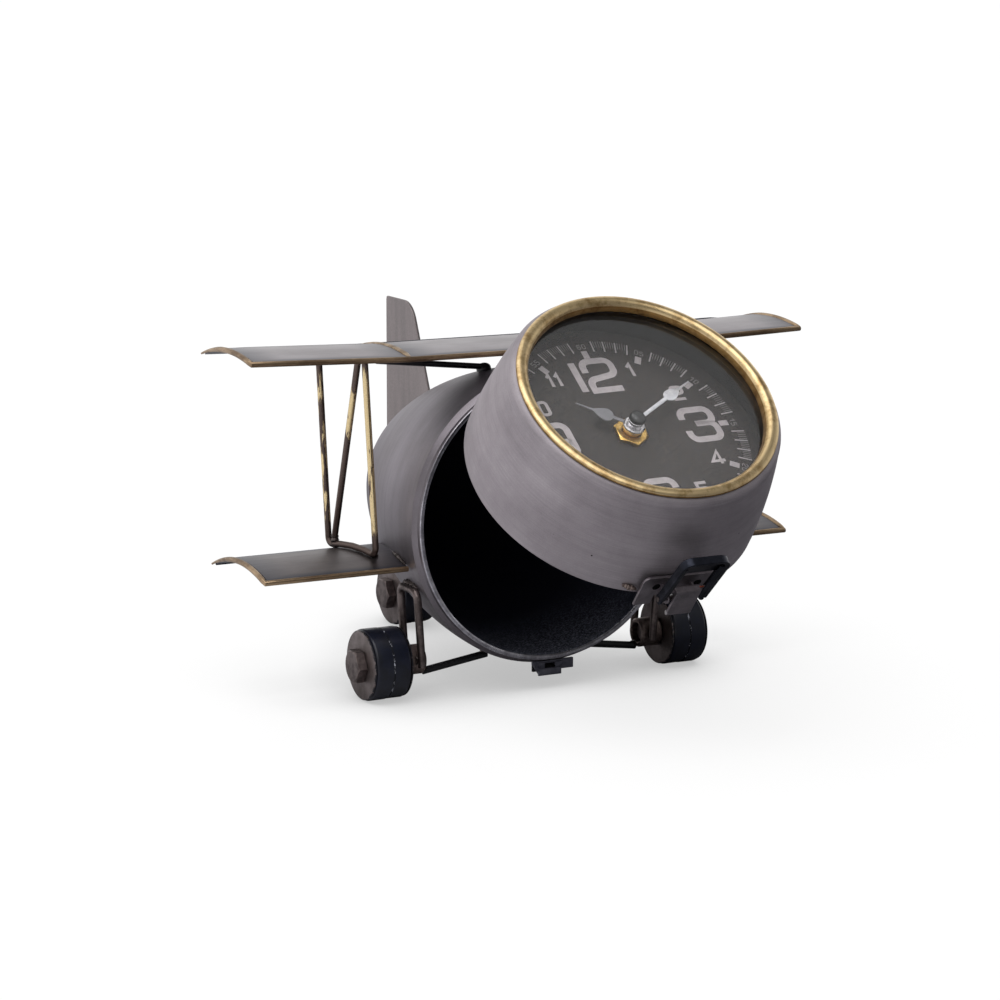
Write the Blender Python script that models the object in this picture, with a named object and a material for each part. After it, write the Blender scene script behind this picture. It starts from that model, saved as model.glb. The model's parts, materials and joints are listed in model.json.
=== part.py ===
"""Biplane table clock: a spun steel fuselage on three wheels, with a hinged clock drum as its lid.

Metres, +Z up. The nose points to -Y and the wings run along X. Everything is laid out from the
middle of the fuselage mouth; the last step sets the whole clock on the ground. The lid stands open.
"""
from math import acos, asin, cos, pi, radians, sin, sqrt, tau

import bmesh
import bpy
from mathutils import Matrix, Vector

# Clearances and build values
seat_gap = 0.0003
cut_overrun = 0.0010
merge_distance = 0.000001
turning_steps = 40
small_turning_steps = 16
wheel_turning_steps = 24
smooth_limit = radians(35)

# Fuselage: a spun pot, its mouth at the front
lip_radius = 0.0606
lip_bead_radius = 0.0012
fuselage_radius = 0.0635
fuselage_length = 0.1600
fuselage_wall = 0.0015
shoulder_length = 0.0045
groove_width = 0.0008
groove_depth = 0.0004
tail_curve_share = 1.95
tail_taper_share = 0.87
tail_button_radius = 0.0030
fuselage_rings = 11

# Lid: the clock drum
lid_open_angle = radians(51.5)
drum_rim_radius = 0.0622
drum_front_radius = 0.0571
drum_bulge = 0.0012
drum_length = 0.0430
drum_wall = 0.0010
drum_shoulder_radius = 0.0042
drum_shoulder_depth = 0.0045
drum_rings = 6
front_opening_radius = 0.0528

# Bezel, glass and dial
bezel_outer_radius = 0.0547
bezel_inner_radius = 0.0491
bezel_crest_radius = 0.0522
bezel_height = 0.0015
bezel_lip_depth = 0.0025
bezel_skirt = 0.0036
bezel_wall = 0.0008
glass_thickness = 0.0020
liner_flange_radius = 0.0505
liner_thickness = 0.0008
liner_clearance = 0.0005
dial_depth = 0.0243
dial_thickness = 0.0008
carrier_inner_radius = 0.0420
carrier_thickness = 0.0012

# Movement and hands
movement_width = 0.0560
movement_height = 0.0560
movement_thickness = 0.0155
movement_corner = 0.0030
battery_radius = 0.00725
battery_length = 0.0500
battery_tip_radius = 0.0027
battery_tip_length = 0.0010
battery_drop = 0.0165
bay_clearance = 0.0005
bush_radius = 0.0040
bush_length = 0.0034
arbor_radius = 0.0012
arbor_length = 0.0098
dial_nut_across = 0.0130
dial_nut_thickness = 0.0018
knob_radius = 0.0045
knob_length = 0.0040
knob_offset = 0.0140
knob_stem_radius = 0.0015
knob_well_share = 1 / 3
hour_hand_length = 0.0250
hour_hand_height = 0.0050
minute_hand_length = 0.0375
minute_hand_height = 0.0075
hand_thickness = 0.0004
hour_collet_radius = 0.0046
minute_collet_radius = 0.0032
hand_collet_length = 0.0016
hand_collet_proud = 0.0002
hand_collet_bite_share = 0.8
hand_collet_taper_share = 0.9
hand_root_width = 0.0015
hand_tip_width = 0.0010
hand_shank_end_share = 0.16
hand_shoulder_share = 0.10
hand_shoulder_width_share = 0.42
hand_taper_share = 0.12
hand_taper_width_share = 0.26
hand_needle_share = 0.19
hour_spade_width = 0.0060
hour_spade_place_share = 0.58
minute_spade_width = 0.0058
minute_spade_place_share = 0.69
cap_radius = 0.0034
cap_height = 0.0030
cap_skirt_share = 0.4
hour_hand_angle = radians(304)
minute_hand_angle = radians(60)

# Hinge between fuselage and lid
hinge_y = 0.0019
hinge_z = 0.0659
knuckle_radius = 0.0021
hinge_width = 0.0180
hinge_pin_radius = 0.0009
hinge_pin_head_radius = 0.0016
hinge_pin_head_length = 0.0010
leaf_thickness = 0.0010
leaf_length = 0.0110
leaf_setback = 0.0034
knuckle_count = 5
hinge_rivet_radius = 0.0016
hinge_rivet_height = 0.0009
hinge_rivet_spread = 0.0050
hinge_rivet_place_share = 0.6
hinge_rivet_crown_share = 0.75

# Latch on the lid, catch on the fuselage
latch_plate_width = 0.0320
latch_plate_length = 0.0105
latch_plate_thickness = 0.0012
latch_plate_setback = 0.0015
latch_plate_corner = 0.0024
latch_tab_width = 0.0075
latch_tab_reach = 0.0036
latch_hole_radius = 0.0017
latch_hole_spread = 0.0093
latch_ear_thickness = 0.0010
latch_ear_spread = 0.0067
latch_ear_length = 0.0060
latch_pivot_setback = 0.0035
latch_pivot_drop = 0.0048
latch_pin_radius = 0.0010
lever_leg_spread = 0.0088
lever_leg_thickness = 0.0012
lever_leg_height = 0.0036
lever_length = 0.0275
lever_nose_corner = 0.0042
lever_bar_length = 0.0095
lever_bar_thickness = 0.0014
lever_eye_inset = 0.0001
lever_rest_angle = radians(9)
lever_eye_radius = 0.0022
hook_pin_setback = 0.0055
hook_drop = 0.0026
hook_width = 0.0110
hook_length = 0.0120
hook_thickness = 0.0012
hook_eye_radius = 0.0017
hook_lip_height = 0.0005
catch_width = 0.0110
catch_height = 0.0065
catch_thickness = 0.0014
catch_slot_width = 0.0050
catch_slot_height = 0.0024
catch_slot_drop = 0.0010
catch_depth = 0.0080
catch_foot_width = 0.0060
catch_foot_height = 0.0024

# Wings: arched sheets with rolled edges
sheet_thickness = 0.0010
edge_bead_radius = 0.0012
upper_half_span = 0.1305
upper_front_y = 0.0127
upper_rear_y = 0.0680
upper_front_z = 0.0720
upper_rear_z = 0.0697
upper_arch = 0.0036
upper_crank_x = 0.0595
upper_crank_rise = 0.0022
rib_width = 0.0026
rib_thickness = 0.0009
lower_half_span = 0.1254
lower_front_y = 0.0137
lower_rear_y = 0.0730
lower_front_z = -0.0189
lower_rear_z = -0.0220
lower_arch = 0.0053
lower_root_gap = 0.0003
wing_chord_steps = 6

# Struts
wire_radius = 0.0014
strut_front_foot_x = 0.0710
strut_front_foot_y = 0.0235
strut_front_top_x = 0.0735
strut_front_top_y = 0.0287
strut_rear_foot_x = 0.0775
strut_rear_foot_y = 0.0580
strut_rear_top_x = 0.0790
strut_rear_top_y = 0.0640
strut_bend = 0.0030
strut_run_steps = 4
diagonal_top_space_share = 1.15
diagonal_foot_space_share = 1.3
diagonal_foot_lift_share = 1.5
cabane_foot_x = 0.0120
cabane_foot_y = 0.0400
cabane_top_x = 0.0720
cabane_top_y = 0.0195
cabane_boss_radius = 0.0032
cabane_boss_height = 0.0031
cabane_boss_round_share = 0.4
cabane_rod_radius = 0.0013

# Wheels and landing gear
wheel_radius = 0.0153
wheel_width = 0.0177
wheel_outer_face_x = 0.0805
wheel_axle_y = 0.0186
wheel_axle_z = -0.0595
tail_axle_share = 0.875
tail_wheel_face_x = 0.0110
tyre_corner = 0.0005
tyre_seam_width = 0.0006
tyre_seam_depth = 0.0005
hub_flange_radius = 0.0148
hub_flange_thickness = 0.0006
hub_core_radius = 0.0120
bolt_across = 0.0130
bolt_head_length = 0.0040
bolt_radius = 0.0040
bolt_thread_length = 0.0080
sleeve_radius = 0.0064
sleeve_length = 0.0100
gear_wire_radius = 0.0017
gear_leg_spread = 0.0084
gear_leg_top_x = 0.0582
gear_leg_top_z = -0.0285
gear_leg_bend_share = 0.5
gear_leg_bottom_x = 0.0560
spreader_radius = 0.0016
spreader_outer_drop = 0.0056
spreader_inner_x = 0.0215
tail_leg_bend_z = -0.0330
tail_leg_top_x = 0.0060
tail_leg_bend = 0.0030

# Fin
fin_thickness = 0.0014
fin_front_share = 0.7325
fin_overhang = 0.0050
fin_top_z = 0.0769
fin_top_length = 0.0187
fin_corner_radius = 0.0132
fin_edge_lean = radians(24.2)
fin_root_lift = 0.0020


def clear_scene():
    for thing in list(bpy.data.objects):
        bpy.data.objects.remove(thing, do_unlink=True)


def finish_material(name, colour, roughness, metallic, alpha=1.0):
    """One Principled finish; colour is the linear base colour."""
    material = bpy.data.materials.new(name)
    material.use_nodes = True
    shader = material.node_tree.nodes["Principled BSDF"]
    shader.inputs["Base Color"].default_value = (*colour, 1.0)
    shader.inputs["Roughness"].default_value = roughness
    shader.inputs["Metallic"].default_value = metallic
    shader.inputs["Alpha"].default_value = alpha
    material.diffuse_color = (*colour, alpha)
    return material


def add_node(name, mesh_data, material, parent=None, origin=(0, 0, 0)):
    """Links one named piece. A bmesh laid out in its parent's space is moved so its origin is the given point."""
    mesh = bpy.data.meshes.new(name)
    if any(origin):
        bmesh.ops.translate(mesh_data, verts=mesh_data.verts, vec=-Vector(origin))
    mesh_data.to_mesh(mesh)
    mesh_data.free()
    mesh.shade_smooth()
    mesh.set_sharp_from_angle(angle=smooth_limit)
    piece = bpy.data.objects.new(name, mesh)
    piece.location = origin
    bpy.context.scene.collection.objects.link(piece)
    piece.data.materials.append(material)
    piece.parent = parent
    return piece


def add_empty(name, location, parent=None, rotation=(0, 0, 0)):
    empty = bpy.data.objects.new(name, None)
    empty.location = location
    empty.rotation_euler = rotation
    bpy.context.scene.collection.objects.link(empty)
    empty.parent = parent
    return empty


def cut(piece, mesh_data, name):
    """Cuts a hidden solid out of the piece."""
    cutter = add_node(name, mesh_data, piece.data.materials[0], piece.parent)
    cutter.hide_render = True
    cutter.display_type = "WIRE"
    modifier = piece.modifiers.new(name, "BOOLEAN")
    modifier.operation = "DIFFERENCE"
    modifier.solver = "EXACT"
    modifier.object = cutter


def join_solid(piece, mesh_data, name):
    """Fuses another solid into the piece, so that both are one closed body."""
    other = add_node(name, mesh_data, piece.data.materials[0], piece.parent)
    other.hide_render = True
    other.display_type = "WIRE"
    modifier = piece.modifiers.new(name, "BOOLEAN")
    modifier.operation = "UNION"
    modifier.solver = "EXACT"
    modifier.object = other


def turned(outline, steps=turning_steps, half_step=False):
    """Spins a closed outline of (radius, y) points about the Y axis. It may touch the axis."""
    bm = bmesh.new()
    start = pi / steps if half_step else 0.0
    ring = [bm.verts.new((radius * sin(start), y, radius * cos(start))) for radius, y in outline]
    edges = []
    for index, point in enumerate(outline):
        after = (index + 1) % len(outline)
        if point[0] > 0 or outline[after][0] > 0:
            edges.append(bm.edges.new((ring[index], ring[after])))
    bmesh.ops.spin(bm, geom=ring + edges, axis=(0, 1, 0), cent=(0, 0, 0), angle=tau, steps=steps, use_merge=True)
    bmesh.ops.remove_doubles(bm, verts=bm.verts, dist=merge_distance)
    bmesh.ops.recalc_face_normals(bm, faces=bm.faces)
    return bm


def turned_along_x(outline, steps=small_turning_steps, half_step=False):
    """Spins a closed outline of (radius, x) points about the X axis."""
    bm = turned(outline, steps, half_step)
    bmesh.ops.rotate(bm, verts=bm.verts, cent=(0, 0, 0), matrix=Matrix.Rotation(-pi / 2, 3, "Z"))
    return bm


def moved(bm, offset):
    bmesh.ops.translate(bm, verts=bm.verts, vec=offset)
    return bm


def block(x_range, y_range, z_range):
    """A box between the given corners."""
    bm = bmesh.new()
    corners = [(x, y, z) for x in x_range for y in y_range for z in z_range]
    verts = [bm.verts.new(corner) for corner in corners]
    for face in ((0, 1, 3, 2), (4, 6, 7, 5), (0, 4, 5, 1), (2, 3, 7, 6), (0, 2, 6, 4), (1, 5, 7, 3)):
        bm.faces.new([verts[index] for index in face])
    bmesh.ops.recalc_face_normals(bm, faces=bm.faces)
    return bm


def plate(outline, axis, low, high):
    """A flat outline, given in the plane square to the axis, made solid between low and high."""
    bm = bmesh.new()
    if axis == "X":
        points = [(low, first, second) for first, second in outline]
        step = Vector((high - low, 0, 0))
    elif axis == "Y":
        points = [(first, low, second) for first, second in outline]
        step = Vector((0, high - low, 0))
    else:
        points = [(first, second, low) for first, second in outline]
        step = Vector((0, 0, high - low))
    face = bm.faces.new([bm.verts.new(point) for point in points])
    made = bmesh.ops.extrude_face_region(bm, geom=[face])
    top = [item for item in made["geom"] if isinstance(item, bmesh.types.BMVert)]
    bmesh.ops.translate(bm, verts=top, vec=step)
    bmesh.ops.recalc_face_normals(bm, faces=bm.faces)
    return bm


def arc(centre, radius, start, end, steps):
    """Points of an arc in a plane, both ends included."""
    turns = [start + (end - start) * step / steps for step in range(steps + 1)]
    return [(centre[0] + radius * cos(turn), centre[1] + radius * sin(turn)) for turn in turns]


def rounded_box(width, height, corner, steps=4):
    """Outline of a rectangle with round corners, about the origin."""
    points = []
    for quarter, (side, end) in enumerate(((1, 1), (-1, 1), (-1, -1), (1, -1))):
        centre = (side * (width / 2 - corner), end * (height / 2 - corner))
        points += arc(centre, corner, quarter * pi / 2, (quarter + 1) * pi / 2, steps)
    return points


def hexagon(across, turn=0.0):
    """Outline of a hexagon of the given size across its flats."""
    corner = across / 2 / cos(pi / 6)
    return [(corner * cos(turn + side * tau / 6), corner * sin(turn + side * tau / 6)) for side in range(6)]


def wire(corners, radius, bend_radius=0.0, bend_steps=4, sides=8):
    """A round wire along the corners, each inner corner bent to the given radius."""
    path = [Vector(corners[0])]
    for before, corner, after in zip(corners, corners[1:], corners[2:]):
        before, corner, after = Vector(before), Vector(corner), Vector(after)
        inward, outward = (before - corner).normalized(), (after - corner).normalized()
        half = acos(max(-1.0, min(1.0, inward.dot(outward)))) / 2
        setback = bend_radius * cos(half) / sin(half)
        centre = corner + (inward + outward).normalized() * (bend_radius / sin(half))
        start, end = corner + inward * setback, corner + outward * setback
        for step in range(bend_steps + 1):
            share = step / bend_steps
            spoke = (start - centre).lerp(end - centre, share).normalized() * bend_radius
            path.append(centre + spoke)
    path.append(Vector(corners[-1]))
    bm = bmesh.new()
    rings = []
    side = None
    for index, point in enumerate(path):
        ahead = path[min(index + 1, len(path) - 1)] - path[max(index - 1, 0)]
        ahead.normalize()
        if side is None:
            helper = Vector((0, 0, 1)) if abs(ahead.z) < 0.8 else Vector((1, 0, 0))
            side = ahead.cross(helper).normalized()
        side = (side - ahead * side.dot(ahead)).normalized()
        up = side.cross(ahead)
        turns = [tau * (count + 0.5) / sides for count in range(sides)]
        rings.append([bm.verts.new(point + (side * cos(t) + up * sin(t)) * radius) for t in turns])
    for first, second in zip(rings, rings[1:]):
        for count in range(sides):
            after = (count + 1) % sides
            bm.faces.new((first[count], first[after], second[after], second[count]))
    bm.faces.new(rings[0])
    bm.faces.new(rings[-1])
    bmesh.ops.recalc_face_normals(bm, faces=bm.faces)
    return bm


def fuselage_outer(y):
    """Outer radius of the spun pot at a distance behind its mouth."""
    share = min(1.0, y / fuselage_length)
    return fuselage_radius * max(0.0, 1 - share ** tail_curve_share) ** tail_taper_share


def drum_outer(depth):
    """Outer radius of the clock drum at a distance in front of its rim."""
    share = depth / drum_length
    straight = drum_rim_radius + (drum_front_radius - drum_rim_radius) * share
    return straight + 4 * drum_bulge * share * (1 - share)


def arch(share, height):
    """Height of an arched sheet across its chord, nought at both edges."""
    return height * 4 * share * (1 - share)


def make_fuselage(root, steel):
    """The spun shell: rolled lip, groove behind it, bulged sides and a closed round tail."""
    lip = [(lip_radius + lip_bead_radius * cos(turn), lip_bead_radius + lip_bead_radius * sin(turn))
           for turn in [-pi + step * pi / 4 for step in range(5)]]
    groove_y = 2 * lip_bead_radius
    outer = lip + [(lip_radius + lip_bead_radius - groove_depth, groove_y),
                   (lip_radius + lip_bead_radius, groove_y + groove_width),
                   (fuselage_outer(shoulder_length), shoulder_length)]
    for ring in range(1, fuselage_rings + 1):
        y = shoulder_length + (fuselage_length - shoulder_length) * sin(ring / (fuselage_rings + 1) * pi / 2)
        outer.append((fuselage_outer(y), y))
    outer += [(tail_button_radius, fuselage_length), (0, fuselage_length)]
    inner = [(0, fuselage_length - 2 * fuselage_wall)]
    for ring in range(fuselage_rings - 1, 0, -1):
        y = shoulder_length + (fuselage_length - shoulder_length) * sin(ring / (fuselage_rings + 1) * pi / 2)
        slope = (fuselage_outer(y + fuselage_wall) - fuselage_outer(y - fuselage_wall)) / (2 * fuselage_wall)
        lean = sqrt(1 + slope * slope)
        inner.append((fuselage_outer(y) - fuselage_wall / lean, y + slope * fuselage_wall / lean))
    inner.append((lip_radius - lip_bead_radius, groove_y + groove_width))
    return add_node("fuselage_shell", turned(outer + inner), steel, root)


def make_fin(root, steel):
    """The upright tail fin, its foot cut to the curve of the fuselage."""
    front_y = fuselage_length * fin_front_share
    rear_y = fuselage_length + fin_overhang
    corner = (rear_y - fin_top_length, fin_top_z - fin_corner_radius)
    outline = [(rear_y, fin_root_lift), (rear_y, fin_top_z)]
    outline += arc(corner, fin_corner_radius, pi / 2, pi - fin_edge_lean, 5)
    steps = 8
    for step in range(steps + 1):
        y = front_y + (fuselage_length - front_y) * step / steps
        outline.append((y, fuselage_outer(y) + seat_gap * 2))
    outline[-1] = (fuselage_length + seat_gap, tail_button_radius + seat_gap * 2)
    outline.append((fuselage_length + seat_gap, fin_root_lift))
    add_node("tail_fin", plate(outline, "X", -fin_thickness / 2, fin_thickness / 2), steel, root)


def sheet(x_stations, chord, thickness):
    """An arched sheet. chord gives the middle surface's (y, z) points at a span station."""
    bm = bmesh.new()
    tops, bottoms = [], []
    for x in x_stations:
        points = chord(x)
        tops.append([bm.verts.new((x, y, z + thickness / 2)) for y, z in points])
        bottoms.append([bm.verts.new((x, y, z - thickness / 2)) for y, z in points])
    last = len(tops[0]) - 1
    for row in range(len(x_stations) - 1):
        for step in range(last):
            bm.faces.new((tops[row][step], tops[row][step + 1], tops[row + 1][step + 1], tops[row + 1][step]))
            bm.faces.new((bottoms[row][step], bottoms[row + 1][step], bottoms[row + 1][step + 1],
                          bottoms[row][step + 1]))
        for step in (0, last):
            bm.faces.new((tops[row][step], tops[row + 1][step], bottoms[row + 1][step], bottoms[row][step]))
    for row in (0, len(x_stations) - 1):
        for step in range(last):
            bm.faces.new((tops[row][step], bottoms[row][step], bottoms[row][step + 1], tops[row][step + 1]))
    bmesh.ops.recalc_face_normals(bm, faces=bm.faces)
    return bm


def upper_drop(x):
    """Drop of the upper wing below its tips: level between the cranks, rising to the tips."""
    outboard = max(0.0, abs(x) - upper_crank_x) / (upper_half_span - upper_crank_x)
    return upper_crank_rise * (1 - outboard)


def upper_point(x, share):
    """A point of the upper wing's middle surface; share runs from its front edge to its rear edge."""
    y = upper_front_y + (upper_rear_y - upper_front_y) * share
    edge_z = upper_front_z + (upper_rear_z - upper_front_z) * share
    return (x, y, edge_z - upper_drop(x) + arch(share, upper_arch))


def lower_point(x, share):
    """A point of a lower wing's middle surface; share runs from its front edge to its rear edge."""
    y = lower_front_y + (lower_rear_y - lower_front_y) * share
    return (x, y, lower_front_z + (lower_rear_z - lower_front_z) * share + arch(share, lower_arch))


def upper_chord(x):
    """Chord points of an upper panel, kept clear of the rolled edge in front."""
    inset = (edge_bead_radius + seat_gap) / (upper_rear_y - upper_front_y)
    shares = [inset + (1 - inset) * step / wing_chord_steps for step in range(wing_chord_steps + 1)]
    return [upper_point(x, share)[1:] for share in shares]


def edge_bead(point, x_stations):
    """A rolled edge along the front of a wing and round its tip, or round both tips."""
    tip_shares = [step / wing_chord_steps for step in range(wing_chord_steps + 1)]
    path = [point(x, 0.0) for x in x_stations]
    path += [point(x_stations[-1], share) for share in tip_shares[1:]]
    if x_stations[0] < 0 < x_stations[-1]:
        path = [point(x_stations[0], share) for share in reversed(tip_shares[1:])] + path
    return wire(path, edge_bead_radius, bend_steps=1)


def make_wings(root, steel, bronze):
    """Upper wing in three panels with ribs over the joints, and two lower wings."""
    bead_inset = edge_bead_radius + seat_gap
    crank = upper_crank_x
    tip = upper_half_span - bead_inset
    centre_stations = [-crank + seat_gap / 2, 0.0, crank - seat_gap / 2]
    add_node("upper_wing_centre", sheet(centre_stations, upper_chord, sheet_thickness), steel, root)
    for side, word in ((-1, "left"), (1, "right")):
        stations = sorted((side * (crank + seat_gap / 2), side * (crank + tip) / 2, side * tip))
        add_node(f"upper_wing_{word}", sheet(stations, upper_chord, sheet_thickness), steel, root)
        rib_stations = [side * crank - rib_width / 2, side * crank + rib_width / 2]
        rib_lift = sheet_thickness / 2 + rib_thickness / 2 + seat_gap

        def rib_chord(x):
            return [(y, z + rib_lift) for y, z in upper_chord(x)]

        add_node(f"wing_rib_{word}", sheet(rib_stations, rib_chord, rib_thickness), bronze, root)
        root_x = [lower_root_x(share) for share in (0.0, 1.0)]
        add_node(f"lower_wing_{word}", lower_panel(side), steel, root)
        bead_x = [side * root_x[0], side * (lower_half_span + root_x[0]) / 2, side * lower_half_span]
        add_node(f"lower_wing_edge_{word}", edge_bead(lower_point, bead_x), bronze, root)
    spans = [-upper_half_span, -crank, crank, upper_half_span]
    add_node("upper_wing_edge", edge_bead(upper_point, spans), bronze, root)


def lower_root_x(share):
    """Distance from the middle to where a lower wing meets the side of the fuselage."""
    x, y, z = lower_point(0.0, share)
    radius = fuselage_outer(y - edge_bead_radius) if share == 0.0 else fuselage_outer(y)
    low = min(abs(z - edge_bead_radius), abs(z + edge_bead_radius))
    return sqrt(radius * radius - low * low) + lower_root_gap


def lower_panel(side):
    """A lower wing's sheet, its root cut to the curve of the fuselage."""
    bm = bmesh.new()
    inset = (edge_bead_radius + seat_gap) / (lower_rear_y - lower_front_y)
    shares = [inset + (1 - inset) * step / wing_chord_steps for step in range(wing_chord_steps + 1)]
    tip = lower_half_span - edge_bead_radius - seat_gap
    rows = []
    for share in shares:
        root_x = lower_root_x(share)
        row = []
        for x in (root_x, (root_x + tip) / 2, tip):
            point = lower_point(side * x, share)
            row.append([bm.verts.new((point[0], point[1], point[2] + lift * sheet_thickness / 2))
                        for lift in (1, -1)])
        rows.append(row)
    for first, second in zip(rows, rows[1:]):
        for column in range(2):
            for layer in (0, 1):
                bm.faces.new((first[column][layer], first[column + 1][layer],
                              second[column + 1][layer], second[column][layer]))
        for column in (0, 2):
            bm.faces.new((first[column][0], second[column][0], second[column][1], first[column][1]))
    for row in (rows[0], rows[-1]):
        for column in range(2):
            bm.faces.new((row[column][0], row[column][1], row[column + 1][1], row[column + 1][0]))
    bmesh.ops.recalc_face_normals(bm, faces=bm.faces)
    return bm


def under_upper(x, y):
    """Height just below the upper wing's sheet."""
    share = (y - upper_front_y) / (upper_rear_y - upper_front_y)
    return upper_point(x, share)[2] - sheet_thickness / 2


def over_lower(x, y):
    """Height just above a lower wing's sheet."""
    share = (y - lower_front_y) / (lower_rear_y - lower_front_y)
    return lower_point(x, share)[2] + sheet_thickness / 2


def make_struts(root, steel):
    """Each side has one bent wire that rises, runs along the lower wing and rises again, and a diagonal."""
    end_gap = 2 * seat_gap
    lift = wire_radius + seat_gap
    for side, word in ((-1, "left"), (1, "right")):
        front_top = (side * strut_front_top_x, strut_front_top_y)
        rear_top = (side * strut_rear_top_x, strut_rear_top_y)
        front_foot = (side * strut_front_foot_x, strut_front_foot_y)
        rear_foot = (side * strut_rear_foot_x, strut_rear_foot_y)
        run = [tuple(a + (b - a) * step / strut_run_steps for a, b in zip(front_foot, rear_foot))
               for step in range(strut_run_steps + 1)]
        path = [(*front_top, under_upper(*front_top) - end_gap)]
        path += [(*place, over_lower(*place) + lift) for place in run]
        path.append((*rear_top, under_upper(*rear_top) - end_gap))
        add_node(f"wing_strut_{word}", wire(path, wire_radius, strut_bend, 3), steel, root)
        spacing = wire_radius * 2 + seat_gap * 2
        top_share = spacing * diagonal_top_space_share / (strut_rear_top_y - strut_front_top_y)
        foot_share = spacing * diagonal_foot_space_share / (strut_rear_foot_y - strut_front_foot_y)
        top = tuple(a + (b - a) * top_share for a, b in zip(front_top, rear_top))
        foot = tuple(b + (a - b) * foot_share for a, b in zip(front_foot, rear_foot))
        foot_z = max(over_lower(*foot), over_lower(*rear_foot)) + spacing * diagonal_foot_lift_share
        add_node(f"strut_diagonal_{word}", wire([(*foot, foot_z), (*top, under_upper(*top) - 2 * end_gap)],
                                                wire_radius), steel, root)


def make_cabane(root, steel):
    """A rod each side from a boss on the fuselage top, out and forward to the underside of the upper wing."""
    foot_radius = fuselage_outer(cabane_foot_y)
    boss_low = foot_radius + seat_gap
    lean = asin(cabane_foot_x / foot_radius)
    for side, word in ((-1, "left"), (1, "right")):
        high = boss_low + cabane_boss_height
        round_off = cabane_boss_radius * cabane_boss_round_share
        dome = [(0, boss_low), (cabane_boss_radius, boss_low), (cabane_boss_radius, high - round_off),
                (cabane_boss_radius - round_off, high), (0, high)]
        boss = turned(dome, 12)
        bmesh.ops.rotate(boss, verts=boss.verts, cent=(0, 0, 0), matrix=Matrix.Rotation(pi / 2, 3, "X"))
        bmesh.ops.rotate(boss, verts=boss.verts, cent=(0, 0, 0), matrix=Matrix.Rotation(side * lean, 3, "Y"))
        strut = add_node(f"cabane_strut_{word}", moved(boss, (0, cabane_foot_y, 0)), steel, root)
        start_radius = high - cabane_rod_radius - seat_gap
        start = (side * start_radius * sin(lean), cabane_foot_y, start_radius * cos(lean))
        top_z = under_upper(side * cabane_top_x, cabane_top_y) - cabane_rod_radius - 2 * seat_gap
        top = (side * cabane_top_x, cabane_top_y, top_z)
        join_solid(strut, wire([start, top], cabane_rod_radius), f"cabane_rod_{word}")


def wheel_outlines():
    """Tyre and hub outlines as (radius, x) with x from the outer face inwards. The tyre sits between flanges."""
    middle = wheel_width / 2
    seam = tyre_seam_width / 2
    near = hub_flange_thickness + seat_gap
    far = wheel_width - near
    inside = hub_core_radius + seat_gap
    tyre = [(inside, near), (wheel_radius - tyre_corner, near), (wheel_radius, near + tyre_corner),
            (wheel_radius, middle - seam), (wheel_radius - tyre_seam_depth, middle),
            (wheel_radius, middle + seam), (wheel_radius, far - tyre_corner),
            (wheel_radius - tyre_corner, far), (inside, far)]
    bore = bolt_radius + seat_gap
    hub = [(bore, 0.0), (hub_flange_radius, 0.0), (hub_flange_radius, hub_flange_thickness),
           (hub_core_radius, hub_flange_thickness), (hub_core_radius, wheel_width - hub_flange_thickness),
           (hub_flange_radius, wheel_width - hub_flange_thickness), (hub_flange_radius, wheel_width),
           (bore, wheel_width)]
    return tyre, hub


def bolt_solid(reach):
    """A hexagon bolt along +X in one closed outline each for head and shank, head underside at x = 0."""
    head = plate(hexagon(bolt_across, pi / 6), "X", -bolt_head_length, 0.0)
    sink = bolt_head_length / 2
    shank = turned_along_x([(0, -sink), (bolt_radius, -sink), (bolt_radius, reach), (0, reach)])
    return head, shank


def make_wheel(root, word, outer_x, inward, axle_y, rubber, steel, dark_steel):
    """A wheel on its bolt: outer_x is its outer face, inward the way from there to its leg along X."""
    axle_z = wheel_axle_z
    tyre, hub = wheel_outlines()
    turn = Matrix.Identity(3) if inward > 0 else Matrix.Rotation(pi, 3, "Z")

    def placed(bm):
        bmesh.ops.rotate(bm, verts=bm.verts, cent=(0, 0, 0), matrix=turn)
        return moved(bm, (outer_x, axle_y, axle_z))

    axle = (outer_x + inward * wheel_width / 2, axle_y, axle_z)
    pivot = add_empty(f"wheel_axis_{word}", axle, root)
    for name, outline, finish in (("tyre", tyre, rubber), ("wheel_hub", hub, steel)):
        solid = turned_along_x(outline, wheel_turning_steps, half_step=True)
        piece = add_node(f"{name}_{word}", placed(solid), finish, pivot)
        piece.matrix_parent_inverse = Matrix.Translation(-Vector(axle))
    reach = wheel_width + seat_gap + bolt_thread_length
    head, shank = bolt_solid(reach)
    head = placed(moved(head, (-seat_gap, 0, 0)))
    shank = placed(moved(shank, (-seat_gap, 0, 0)))
    start = wheel_width + seat_gap
    bore = bolt_radius + seat_gap
    chamfer = sleeve_radius - bore
    sleeve = [(bore, start), (sleeve_radius, start), (sleeve_radius, start + sleeve_length - chamfer / 2),
              (sleeve_radius - chamfer / 2, start + sleeve_length), (bore, start + sleeve_length)]
    add_node(f"axle_sleeve_{word}", placed(turned_along_x(sleeve)), dark_steel, root)
    bolt = add_node(f"wheel_bolt_{word}", head, steel, root)
    join_solid(bolt, shank, f"bolt_shank_{word}")


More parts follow.
